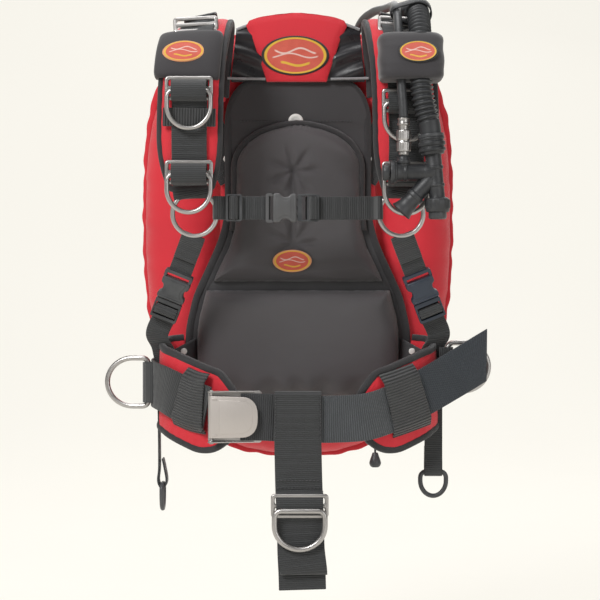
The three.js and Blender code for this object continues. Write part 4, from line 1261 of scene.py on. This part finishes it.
# ---------------------------------------------------------------------------------------------------------
# Side straps. 25 mm webbing hangs from each ring to a side-release buckle, whose lower half is tied to the
# waistband by a tail of webbing behind it.
for name, s in (("left", 1), ("right", -1)):
    top, low = Vector((s * 113, -50, -230)), Vector((s * 141.2, -26.1, -300))
    along = (low - top).normalized()
    back = (Vector((0, 1, 0)) - along * along.y).normalized()
    deep = along.cross(back)
    strap_at = Matrix([[*row] for row in zip(along, back, deep)]).to_4x4()
    strap_at.translation = low
    side_release(
        "side_clip_" + name, "side_clip_female_" + name, "side_clip_male_" + name, "side_clip_male_" + name,
        strap_at, blue_plastic if s > 0 else clip_plastic, blue_plastic if s > 0 else clip_plastic
    )
    spots = [strap_at @ Vector(p) for p in ((-73, 0.6, 0), (-60, 0.2, 0), (-45, 0, 0), (-31, 0, 0))]
    run, run_way = route_through(spots, 36)
    web = ribbon("side_webbing_" + name, run, run_way, deep, NARROW_WEB, 2.2, webbing)
    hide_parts("side_web_" + name)
    lay = [
        strap_at @ Vector(p)
        for p in (
            (-50, -3.0, 0), (-66, -3.4, 0), (-76, -5.4, 0), (-80.4, -3.2, 0), (-78, 0.6, 0), (-70, 2.8, 0),
            (-56, 2.4, 0)
        )
    ]
    run, run_way = route_through(lay, 44)
    ribbon("side_ring_tab_" + name, run, run_way, deep, NARROW_WEB, 2.0, webbing)
    spots = [
        strap_at @ Vector(p)
        for p in ((8.5, 0.8, 0), (10, -4.2, 0), (14, -4.8, 0), (17, -3.8, 0), (18.4, 0.8, 0))
    ]
    run, run_way = route_through(spots, 22)
    ribbon("side_male_web_" + name, run, run_way, deep, 25.0, 1.6, webbing, "side_clip_male_" + name)
    rise = [strap_at @ Vector((d, 5.6, 0)) for d in (5, 24, 46)]
    run, run_way = route_through([*rise, (s * 151, 3, -355), (s * 147, 6, -371)], 40)
    ribbon("side_tail_" + name, run, run_way, deep, NARROW_WEB, 2.2, webbing)

# ---------------------------------------------------------------------------------------------------------
# Waistband. Two padded red wings of the back panel, bound in black, reach round the hips. Each carries a
# D-ring on a web tab, a ribbed elastic keeper for the belt and a drop strap with a small plastic D-ring.
for name, s in (("left", 1), ("right", -1)):
    hip = [
        (s * 126, 40, -385), (s * 142, 34, -387), (s * 149, 18, -391), (s * 149, -3, -397),
        (s * 136, -20, -405), (s * 112, -36, -416), (s * 92, -46, -423), (s * 74, -54, -427),
    ]
    count = 110
    line, way = route_through(hip, count)
    t = np.linspace(0, 1, count)
    tip = np.maximum(0, (t - 0.8) / 0.2)
    half = (90 - 4 * (1 - t) - 34 * tip**2) / 2
    up = unit(np.array([0, 0, 1.0]) - way * way[:, 2:])
    out = np.cross(way, up) * -s
    turn = np.arange(40) / 40 * 2 * math.pi
    c = blunt(np.cos(turn), 0.5)
    e = blunt(np.sin(turn), 0.7)
    rings = []
    for k in range(count):
        end = min(k + 3, count - 1 - k)
        tuck = 1 if end > 3 else (0.55, 0.8, 0.93, 0.98)[end]
        ripple = 0.35 * math.sin(k * 0.9) * np.abs(c) ** 4
        rings.append(
            line[k] + (c * (half[k] - 1.0))[:, None] * up[k] + (e * (4.7 * tuck + ripple))[:, None] * out[k]
        )
    band = loft("waistband_cushion_" + name, rings, red_nylon)
    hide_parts("waistband_" + name)
    rim = half - 0.6
    bend = [
        line[-1] + up[-1] * rim[-1] * blunt(math.cos(a), 0.5) + way[-1] * 3.0 * math.sin(a) ** 0.6
        for a in np.linspace(0.2, math.pi - 0.2, 11)
    ]
    edge = np.concatenate([line + up * rim[:, None], bend, (line - up * rim[:, None])[::-1]])
    flat = np.concatenate([up, np.tile(way[-1], (11, 1)), -up[::-1]])
    tape = oval_tube(
        "waistband_binding_" + name, edge, unit(np.gradient(edge, axis=0)), 4.0, 3.9, flat, binding,
        closed=False
    )

    dz = -375 if s > 0 else -392
    bar = at(s * 167.5, 6, dz) @ Matrix.Rotation(s * 0.12, 4, "Z") @ Matrix.Rotation(
        -s * math.pi / 2, 4, "Y"
    )
    d_ring("waist_dring_%s_wire" % name, 60, 50, 3, bar, "waist_dring_" + name)
    tab = [
        (s * 157.4, -9, dz), (s * 165, -6, dz), (s * 171.5, 0, dz), (s * 172.6, 6.5, dz),
        (s * 169, 11.4, dz), (s * 163.9, 10.6, dz), (s * 163.4, 15, dz)
    ]
    run, run_way = route_through(tab, 40)
    ribbon("waist_ring_tab_" + name, run, run_way, (0, 0, 1), 45, 2.2, webbing)
    drop = -489 if s > 0 else -503
    aside = (1, 0, 0) if s > 0 else (0, 1, 0)
    over = (0, 1) if s > 0 else (1, 0)
    hang = [
        (s * 151.5 + over[0] * d, 6 + over[1] * d, z)
        for d, z in (
            (-4.2, -420), (-3.9, -440), (-3.6, drop + 16), (-4.4, drop - 1), (0, drop - 7.6),
            (4.4, drop - 1), (2.4, drop + 16), (0.2, drop + 26)
        )
    ]
    run, run_way = route_through(hang, 70)
    ribbon("drop_strap_" + name, run, run_way, aside, 20, 2.0, webbing)
    node = "drop_dring_" + name
    hook = at(s * 151.5, 6, drop - 3.0) @ (
        Matrix.Rotation(math.pi / 2, 4, "Z") if s < 0 else Matrix.Identity(4)
    )
    d_ring(node + "_wire", 34, 30, 2.6, hook, node, clip_plastic)
    u, v = np.meshgrid(np.linspace(0, 1, 14), np.linspace(-1, 1, 14), indexing="ij")
    gusset = np.stack([s * (116 + 33 * u), 35.5 - 28 * u**1.3, -364 + v * (21 - 15 * u) - 3 * u], 2)
    made = sheet_of("waist_gusset_" + name, gusset, black_nylon, 1.6, closed=False, offset=0.0)
    turned(
        "waist_gusset_button_" + name, [(-0.4, 3.6), (0.8, 3.6), (1.5, 2.8), (1.7, 0)],
        (s * 129, 23.6, -358), (0, -1, 0), grommet
    )

# ---------------------------------------------------------------------------------------------------------
# Waist belt. Two lengths of 50 mm webbing: the short one is sewn in the buckle's frame, the long one passes
# under the buckle's lever and leaves a free tail. The keepers hold both down on the waistband.
belt_web = Finish("belt_webbing", roughness=0.6, sheen_weight=0.25)
u, v = belt_web.uv()
x, y, z = belt_web.split(belt_web.place())
ribs = (v * (2 * math.pi / 0.0023)).wave()
fine = (u * (2 * math.pi / 0.0016)).wave() * (v * (2 * math.pi / 0.0046)).wave()
worn = belt_web.noise(belt_web.place(), 40.0, 5.0, 0.6)
slate = belt_web.mix(
    ribs * 0.3 + fine * 0.15 + worn * 0.4 + 0.1, (0.028, 0.032, 0.036), (0.100, 0.108, 0.118)
)
navy = belt_web.mix(ribs * 0.15 + fine * 0.15 + worn * 0.4, (0.012, 0.017, 0.025), (0.034, 0.046, 0.060))
black = belt_web.mix(ribs * 0.3 + fine * 0.2 + worn * 0.4, (0.016, 0.017, 0.019), (0.060, 0.062, 0.066))
inner_part = belt_web.mix(x.above(0.024, 0.002), black, slate)
belt_web.shade({"Base Color": belt_web.mix(x.above(0.112, 0.012), inner_part, navy)})
belt_web.bump(ribs * 0.8 + fine * 0.4, 0.0006, 0.8)
long_run = [
    (-62, -65.5, -426), (-39, -65.5, -426.3), (0, -65.5, -428), (40, -65.5, -428.5), (75, -62.5, -426),
    (100, -51.5, -419), (118, -42.5, -411), (137, -34.5, -402), (172, -21, -383), (210, -9, -361),
]
line, way = route_through(long_run, 150)
belt_left = ribbon("belt_long_webbing", line, way, (0, 0, 1), WIDE_WEB, 2.3, belt_web, lanes=8)
for k in range(130, 150):
    for lane in range(9):
        cut = (lane / 8 - 0.5) * 29 * ((k - 129) / 20)
        belt_left.data.vertices[k * 9 + lane].co += Vector(way[k] * cut / 1000)
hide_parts("waist_web_left")
short_run = [
    (-161.8, 16, -390), (-161.8, -4, -393), (-144, -26.5, -400), (-118, -42.5, -413), (-110, -48, -416),
    (-104, -54.5, -417), (-98.6, -59.5, -419),
]
line_r, way_r = route_through(short_run, 70)
belt_right = ribbon("belt_short_webbing", line_r, way_r, (0, 0, 1), WIDE_WEB, 2.3, webbing, lanes=8)
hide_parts("waist_web_right")


def keeper(name, spots, tall):
    """An elastic tunnel over the belt, sewn to the waistband above and below the web."""
    line, way = route_through(spots, 26)
    up = unit(np.array([0, 0, 1.0]) - way * way[:, 2:])
    out = np.cross(way, up)
    out *= -np.sign(out[:, 1:2])
    share = np.array(
        [-1, -0.93, -0.86, -0.79, -0.72, -0.6, -0.4, -0.2, 0, 0.2, 0.4, 0.6, 0.72, 0.79, 0.86, 0.93, 1]
    )
    lift = np.where(np.abs(share) < 0.75, 2.6 + 0.5 * np.cos(share * 2), 2.2 - 30 * (np.abs(share) - 0.75))
    points = line[:, None] + up[:, None] * (
        share * tall / 2
    )[None, :, None] + out[:, None] * lift[None, :, None]
    run = np.concatenate([[0], np.cumsum(np.linalg.norm(np.diff(line, axis=0), axis=1))])
    faces, uv, m = [], [], len(share)
    for i in range(len(line) - 1):
        for j in range(m - 1):
            faces.append((i * m + j, i * m + j + 1, (i + 1) * m + j + 1, (i + 1) * m + j))
            a, b = share[j] * tall / 2, share[j + 1] * tall / 2
            uv += [(a, run[i]), (b, run[i]), (b, run[i + 1]), (a, run[i + 1])]
    made = skin(name, points.reshape(-1, 3), faces, elastic, "root", uv)
    softened(walled(made, 1.8), 0.6, 2, 50)


keeper(
    "belt_keeper_left", [(98, -53.5, -416), (112, -46.6, -412), (124, -41.0, -408), (138, -35.0, -403)], 71
)
keeper(
    "belt_keeper_right",
    [(-101, -57.5, -413), (-110, -50.4, -412), (-118, -45.0, -410), (-131, -36.4, -405)], 66
)

# ---------------------------------------------------------------------------------------------------------
# Lever buckles. Stamped stainless: a folded frame with a window, a pin across its walls, and a rounded lever
# on the pin that nips the web. One closes the belt, the other tightens the tank band.
lever_steel = Finish("lever_stainless", metallic=0.75)
rub = lever_steel.noise(
    lever_steel.node("Mapping", {}, {"Vector": lever_steel.place(), "Scale": (6, 1, 1)}), 150.0, 4.0
)
tone = lever_steel.noise(lever_steel.place(), 12.0)
lever_steel.shade({
    "Base Color": lever_steel.mix(tone, (0.50, 0.455, 0.425), (0.60, 0.56, 0.53)),
    "Roughness": rub * 0.2 + 0.36,
})
lever_steel.bump(rub, 0.00012)


def lever_buckle(prefix, matrix):
    frame_plate = lattice(
        prefix + "_frame_plate", (-29, -17, 15, 29), (-28, -20, 20, 28), {(1, 1)}, 1.5, steel, corner=3.0,
        bevel=0.5
    )
    frame_parts = [moved(frame_plate, matrix @ at(0, 0.75, 0))]
    for k, z in enumerate((27.2, -27.2)):
        wall = plate_of(
            "%s_frame_wall_%d" % (prefix, k),
            [(-21, 0.2), (29, 0.2), (29, 8), (26.5, 10), (21, 10), (8, 5.2), (-18, 3.6), (-21, 2.4)], 1.5,
            steel, bevel=0.5
        )
        frame_parts.append(moved(wall, matrix @ at(0, 0, z) @ Matrix.Rotation(-math.pi / 2, 4, "X")))
    pin = turned(
        prefix + "_pin",
        [(0, 0), (0, 2.4), (1.0, 2.4), (1.3, 1.2), (56.7, 1.2), (57, 2.4), (58, 2.4), (58, 0)], (0, 0, 0),
        (0, 0, 1), steel, sides=16
    )
    frame_parts.append(moved(pin, matrix @ at(25, 7.2, -29)))
    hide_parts(prefix + "_frame")
    body = prefix + "_lever"
    turn = np.linspace(math.pi / 2, math.pi * 1.5, 15)
    nose = [(-33.5 + 16.5 * math.cos(a), 21.8 * blunt(math.sin(a), 0.72)) for a in turn]
    field = [(-31 + 13.5 * math.cos(a), 17.4 * blunt(math.sin(a), 0.72)) for a in turn]
    blade = plate_of(
        body + "_plate", [(1, 22.6), *nose, (1, -22.6)], 1.8, lever_steel, body,
        bevel=0.6, y=3.3
    )
    relief = plate_of(
        body + "_relief", [(-8.5, 18.4), *field, (-8.5, -18.4)], 0.9, lever_steel, body, bevel=0.4, y=4.3
    )
    knuckle = turned(
        body + "_knuckle", [(0, 1.7), (0, 2.9), (45.2, 2.9), (45.2, 1.7), (0, 1.7)], (0, 0, 0), (0, 0, 1),
        lever_steel, body, 20
    )
    hinge_at = matrix @ at(25, 7.2, 0)
    lever_parts = [
        moved(blade, hinge_at), moved(relief, hinge_at), moved(knuckle, hinge_at @ at(0, 0, -22.6))
    ]
    rims = [
        moved(
            plate_of(
                "%s_rib_%d" % (body, k), [(-6, z + 0.9), (-1, z + 0.9), (-1, z - 0.9), (-6, z - 0.9)], 2.0,
                lever_steel, body, bevel=0.4, y=4.0
            ),
            hinge_at
        )
        for k, z in enumerate((19.5, -19.5))
    ]
    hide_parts(body)


lever_buckle("waist_buckle", at(-68, -62.5, -426) @ Matrix.Rotation(math.pi, 4, "Z"))

# ---------------------------------------------------------------------------------------------------------
# Crotch strap. 50 mm webbing sewn in a loop round the belt, hanging down the front through a steel slide with
# a D-ring. It bends where the loop ends, so its front ply is one length of web across that bend.


def settle(piece):
    """Makes a piece's modifier stack its mesh."""
    made = bpy.data.meshes.new_from_object(piece.evaluated_get(bpy.context.evaluated_depsgraph_get()))
    old, piece.data = piece.data, made
    piece.modifiers.clear()
    bpy.data.meshes.remove(old)
    return piece


front_ply = [
    (0, -69.6, -401.5), (0, -70.4, -428), (0, -69.9, -452), (0.2, -69.8, -464), (0.8, -70.2, -490),
    (1.4, -70.6, -508), (2, -71.2, -521), (2.4, -70.4, -536), (3, -69.4, -552), (3.4, -71.4, -572),
    (4.4, -70.2, -592), (5, -71.6, -611.6),
]
line, way = route_through(front_ply, 190)
front_web = settle(ribbon("crotch_webbing", line, way, (1, 0, 0), WIDE_WEB, 2.2, webbing, None, lanes=6))
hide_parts("crotch_strap")
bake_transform(front_web)
back_ply = [
    (0, -61.4, -457.6), (0, -60.9, -430), (0, -61.6, -406), (0, -63.5, -400), (0, -66.5, -399.6),
    (0, -69.2, -402.5)
]
line, way = route_through(back_ply, 60)
loop_web = ribbon("crotch_loop_webbing", line, way, (1, 0, 0), WIDE_WEB, 2.2, webbing, lanes=6)
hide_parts("crotch_loop")
line, way = route_through(
    [
        (0.4, -67.3, -474), (1, -67.6, -500), (2.4, -67.4, -536), (3.2, -66.9, -560), (4.4, -67.5, -592),
        (5, -68.9, -611)
    ],
    60
)
ribbon("crotch_back_ply", line, way, (1, 0, 0), WIDE_WEB, 2.2, webbing, "crotch_strap", lanes=6)
hook = [(0, -61.4, -457), (0, -63.0, -460.2), (0, -66.0, -461.2), (0, -68.4, -460.0), (0, -69.6, -456)]
line, way = route_through(hook, 20)
ribbon("crotch_loop_hem", line, way, (1, 0, 0), 50.2, 1.6, webbing)
slide = three_bar_slide("crotch_slide_steel", 62, 26, steel, at(2, -75.05, -521), "crotch_strap")
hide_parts("crotch_slide")
d_ring("crotch_dring_wire", 60, 44, 3, at(2, -80.75, -526), "crotch_dring")
for part, points in {
    "over": [
        (2, -71.6, -505), (2, -75.6, -511.5), (2, -78.4, -517), (2, -78.4, -525), (2, -75.6, -530.5),
        (2, -71.8, -537)
    ],
    "tail": [
        (2, -72.6, -536), (2.6, -73.2, -552), (4, -76.4, -572), (6, -78.2, -588), (6.4, -76.8, -593.5),
        (6, -73.4, -591)
    ],
}.items():
    line, way = route_through(points, 30)
    ribbon("crotch_slide_web_" + part, line, way, (1, 0, 0), 50.4, 2.0, webbing, "crotch_strap", lanes=6)
for k, z in enumerate((-494, -502, -538)):
    stitches(
        "crotch_stitches_%d" % k, [(x, -71.9, z) for x in (-23, 0, 25)], (0, -0.7, 0), body="crotch_strap"
    )
for k, x in enumerate((-24.2, 24.2)):
    stitches(
        "crotch_loop_stitches_%d" % k, [(x, -71.3, -403), (x, -71.6, -428), (x, -71.1, -450)], (0, -0.7, 0)
    )

# ---------------------------------------------------------------------------------------------------------
# Power inflator. A moulded T: the breathing hose's cuff on top, an arm with the inflate button and the
# nipple for the quick coupling, an oral mouthpiece on a slanting branch, and the exhaust button below.
y = -98
cuff = turned(
    "inflator_cuff",
    [
        (0, 11.4), (0, 14.2), (2, 14.2), (2.5, 13.4), (4.5, 13.4), (5, 14.6), (8.5, 14.6), (9, 13.2),
        (11, 13.2), (11.5, 14.2), (14.4, 14.2), (15, 12.6), (17.8, 12.2), (18.6, 9.0), (18.6, 0)
    ],
    (141, y, -128.2), (2, 0, -17.6), moulded
)
stem = turned(
    "inflator_stem",
    [
        (0, 8.2), (3, 8.6), (14, 8.6), (14.4, 9.6), (17.5, 9.6), (18, 8.6), (33, 8.5), (33.5, 9.4),
        (36, 9.4), (36.5, 8.4), (48, 8.4), (49, 11.5), (52, 11.5)
    ],
    (143, y, -144), (5, 0, -52), moulded
)
arm = turned(
    "inflator_arm",
    [
        (5.2, 0), (5.2, 9.3), (0, 9.6), (0, 12.6), (4.2, 12.6), (5, 11.2), (6.4, 11.2), (7, 9.8), (14, 8.6),
        (15, 9.3), (17.5, 9.3), (18.2, 8.5), (36, 8.5), (37, 9.4), (47, 9.4)
    ],
    (98, y, -165), (1, 0, 0), moulded
)
socket = turned(
    "nipple_socket", [(0, 6.4), (9, 6.4), (9.6, 7.4), (13, 7.4), (14, 6.2), (16.6, 6.0), (17, 3.6)],
    (112, y, -165), (0, 0, 1), moulded
)
nipple = turned(
    "nipple", [(0, 3.5), (3, 3.5), (18, 3.3), (19, 3.6), (26, 3.4), (27, 2.6), (27, 0)], (112, y, -149),
    (0, 0, 1), moulded
)
branch = turned(
    "mouthpiece_branch",
    [(0, 8.2), (10, 8.4), (22, 8.6), (23, 9.8), (27, 9.8), (27.6, 8.8), (33, 9.2), (36, 10.2)],
    (141, y, -172), (-25, 0, -27), moulded
)
mouth = turned(
    "mouthpiece",
    [
        (0, 8.8), (0.6, 10.0), (4, 9.6), (8, 10.6), (11.4, 12.0), (12.4, 12.0), (12.6, 11.0), (11.6, 9.6),
        (4, 7.4), (3, 0)
    ],
    (117.5, y, -197.4), (-8.5, 0, -9.1), moulded
)
knurl = np.arange(48) / 48 * 2 * math.pi
rings = []
for d, r in (
    (0, 9.5), (0.6, 12.2), (2.0, 13.2), (2.6, 13.2), (10.5, 13.2), (11.2, 12.8), (13.4, 12.4), (14.6, 11.6),
    (14.8, 10.5), (6.5, 10.3), (6.0, 0.1)
):
    grip = 0.45 * np.sign(np.cos(knurl * 12)) * (2.0 < d < 11.0) + r
    rings.append(
        np.stack([148 + grip * np.cos(knurl), y + grip * np.sin(knurl), np.full(48, -192.2 - d)], 1)
    )
housing = loft("exhaust_housing", rings, moulded)
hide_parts("inflator_body")
turned(
    "inflator_tie_wrap", [(0, 13.6), (0, 14.0), (3.4, 14.0), (3.4, 13.6), (0, 13.6)], (140.6, y, -124.5),
    (1.6, 0, -14), clip_plastic
)
press = turned(
    "inflate_button_cap",
    [(-0.2, 0), (-0.2, 8.8), (5.0, 8.8), (6.0, 8.2), (6.6, 7.2), (6.3, 5.4), (5.8, 3.0), (5.6, 0)],
    (96.4, y, -165), (-1, 0, 0), clip_plastic, "inflate_button"
)
vent = turned(
    "exhaust_button_cap",
    [(0, 0), (0, 9.6), (9.2, 9.6), (10.4, 9.0), (11.0, 7.8), (10.6, 5.6), (10.2, 3.0), (10.0, 0)],
    (148, y, -203.4), (0, 0, -1), clip_plastic, "exhaust_button"
)
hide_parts("inflate_button")
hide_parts("exhaust_button")
core = turned(
    "coupling_core",
    [
        (0, 4.1), (0, 5.1), (3, 5.1), (26, 5.1), (31, 5.1), (31.5, 6.6), (33.5, 6.6), (34, 5.8),
        (37.6, 5.8), (38.2, 6.4), (39.0, 6.2), (39.2, 4.9), (39.2, 0)
    ],
    (112, y, -146.4), (0, 0, 1), steel
)
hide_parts("supply_coupling")
rings = []
for d in np.concatenate(
    [[0, 0.5, 1.2], np.linspace(2, 9, 8), [10, 11, 12.4, 13.0], np.linspace(13.6, 21, 8), [22.2, 23]]
):
    wide = 7.5 - 0.7 * (d < 0.3) - 0.8 * (10.5 < d < 12.8) - 0.9 * (d > 22.6)
    grip = wide + 0.28 * np.cos(knurl * 16) * (1.5 < d < 9.5 or 13.2 < d < 21.5)
    rings.append(
        np.stack([112 + grip * np.cos(knurl), y + grip * np.sin(knurl), np.full(48, -143.0 + d)], 1)
    )
inside = [
    np.stack([112 + 5.4 * np.cos(knurl), y + 5.4 * np.sin(knurl), np.full(48, z)], 1)
    for z in (-120.0, -143.0)
]
sleeve_ring = loft(
    "coupling_sleeve_knurled", [*rings, *inside, rings[0]], steel, "coupling_sleeve", caps=False
)
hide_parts("coupling_sleeve")

# ---------------------------------------------------------------------------------------------------------
# Elbow and dump valve. The elbow screws to the wing's rear behind the left shoulder. The dump valve sits at
# the wing's lower left, and a short cord with a pear-shaped knob opens it.
flange = turned(
    "elbow_flange",
    [
        (0, 19), (0, 20), (1.4, 20), (2.2, 19.2), (3.4, 19), (4.2, 16), (5.2, 14.2), (6, 12.6), (22, 12.6),
        (25, 11.4), (27, 8), (27.2, 0)
    ],
    (95, 118.4, -53), (0, 1, 0), moulded, sides=40
)
neck = turned(
    "elbow_neck",
    [
        (0, 11.6), (14, 12.0), (18, 12.0), (18.4, 13.8), (21.4, 13.8), (21.8, 12.8), (24.8, 12.8),
        (25.2, 13.8), (30.2, 13.8), (30.6, 11.6)
    ],
    (95, 134, -53), (0, 0, 1), moulded
)
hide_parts("hose_elbow")
plate_valve = turned(
    "dump_valve_cover",
    [
        (0, 19), (0, 20), (4.2, 20), (5.2, 19.2), (6.4, 18.8), (7.4, 15.4), (8.6, 15.0), (9.6, 14.2),
        (10.4, 9.0), (11.2, 8.6), (11.8, 6), (11.9, 0)
    ],
    (88, 45, -434), (0, -1, 0), moulded, sides=40
)
spout = turned(
    "dump_valve_nozzle",
    [(0, 4.8), (20, 4.8), (24, 5.4), (27, 5.4), (28, 4.4), (28, 2.2), (14, 2.0), (12, 0)], (88, 38, -434),
    (0, 0, -1), moulded
)
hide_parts("dump_valve")
pull = [(88, 38, z) for z in np.linspace(-442, -475, 24)]
cord = wire("pull_cord_line", pull, 1.2, braid, "pull_cord", cyclic=False, sides=4)
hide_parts("pull_cord")
knob = turned(
    "pull_cord_knob",
    [
        (0, 1.3), (0, 3.0), (1.5, 3.6), (3, 4.0), (7, 5.5), (11, 6.7), (13, 6.6), (15.4, 5.5), (16.6, 3.6),
        (17, 0)
    ],
    (88, 38, -474), (0, 0, -1), clip_plastic, "pull_cord"
)

# ---------------------------------------------------------------------------------------------------------
# Tank band. A 50 mm band round the cylinder, threaded through the back plate and drawn tight by a lever
# buckle at the rear left.
BAND_RADIUS, TANK_Y, BAND_Z = 95.3, 147, -270
a = np.linspace(0.0, 2 * math.pi * 0.9999, 160)
hoop = np.stack(
    [BAND_RADIUS * np.sin(a + 1.25), TANK_Y + BAND_RADIUS * np.cos(a + 1.25), np.full(160, float(BAND_Z))], 1)
tank_web = ribbon(
    "tank_band_webbing", hoop, unit(np.gradient(hoop, axis=0)), (0, 0, 1), WIDE_WEB, 2.4, webbing, lanes=6
)
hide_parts("tank_band")
lever_buckle(
    "band_buckle", at(98 * math.sin(0.9), TANK_Y + 98 * math.cos(0.9), BAND_Z) @ Matrix.Rotation(-0.9, 4, "Z")
)
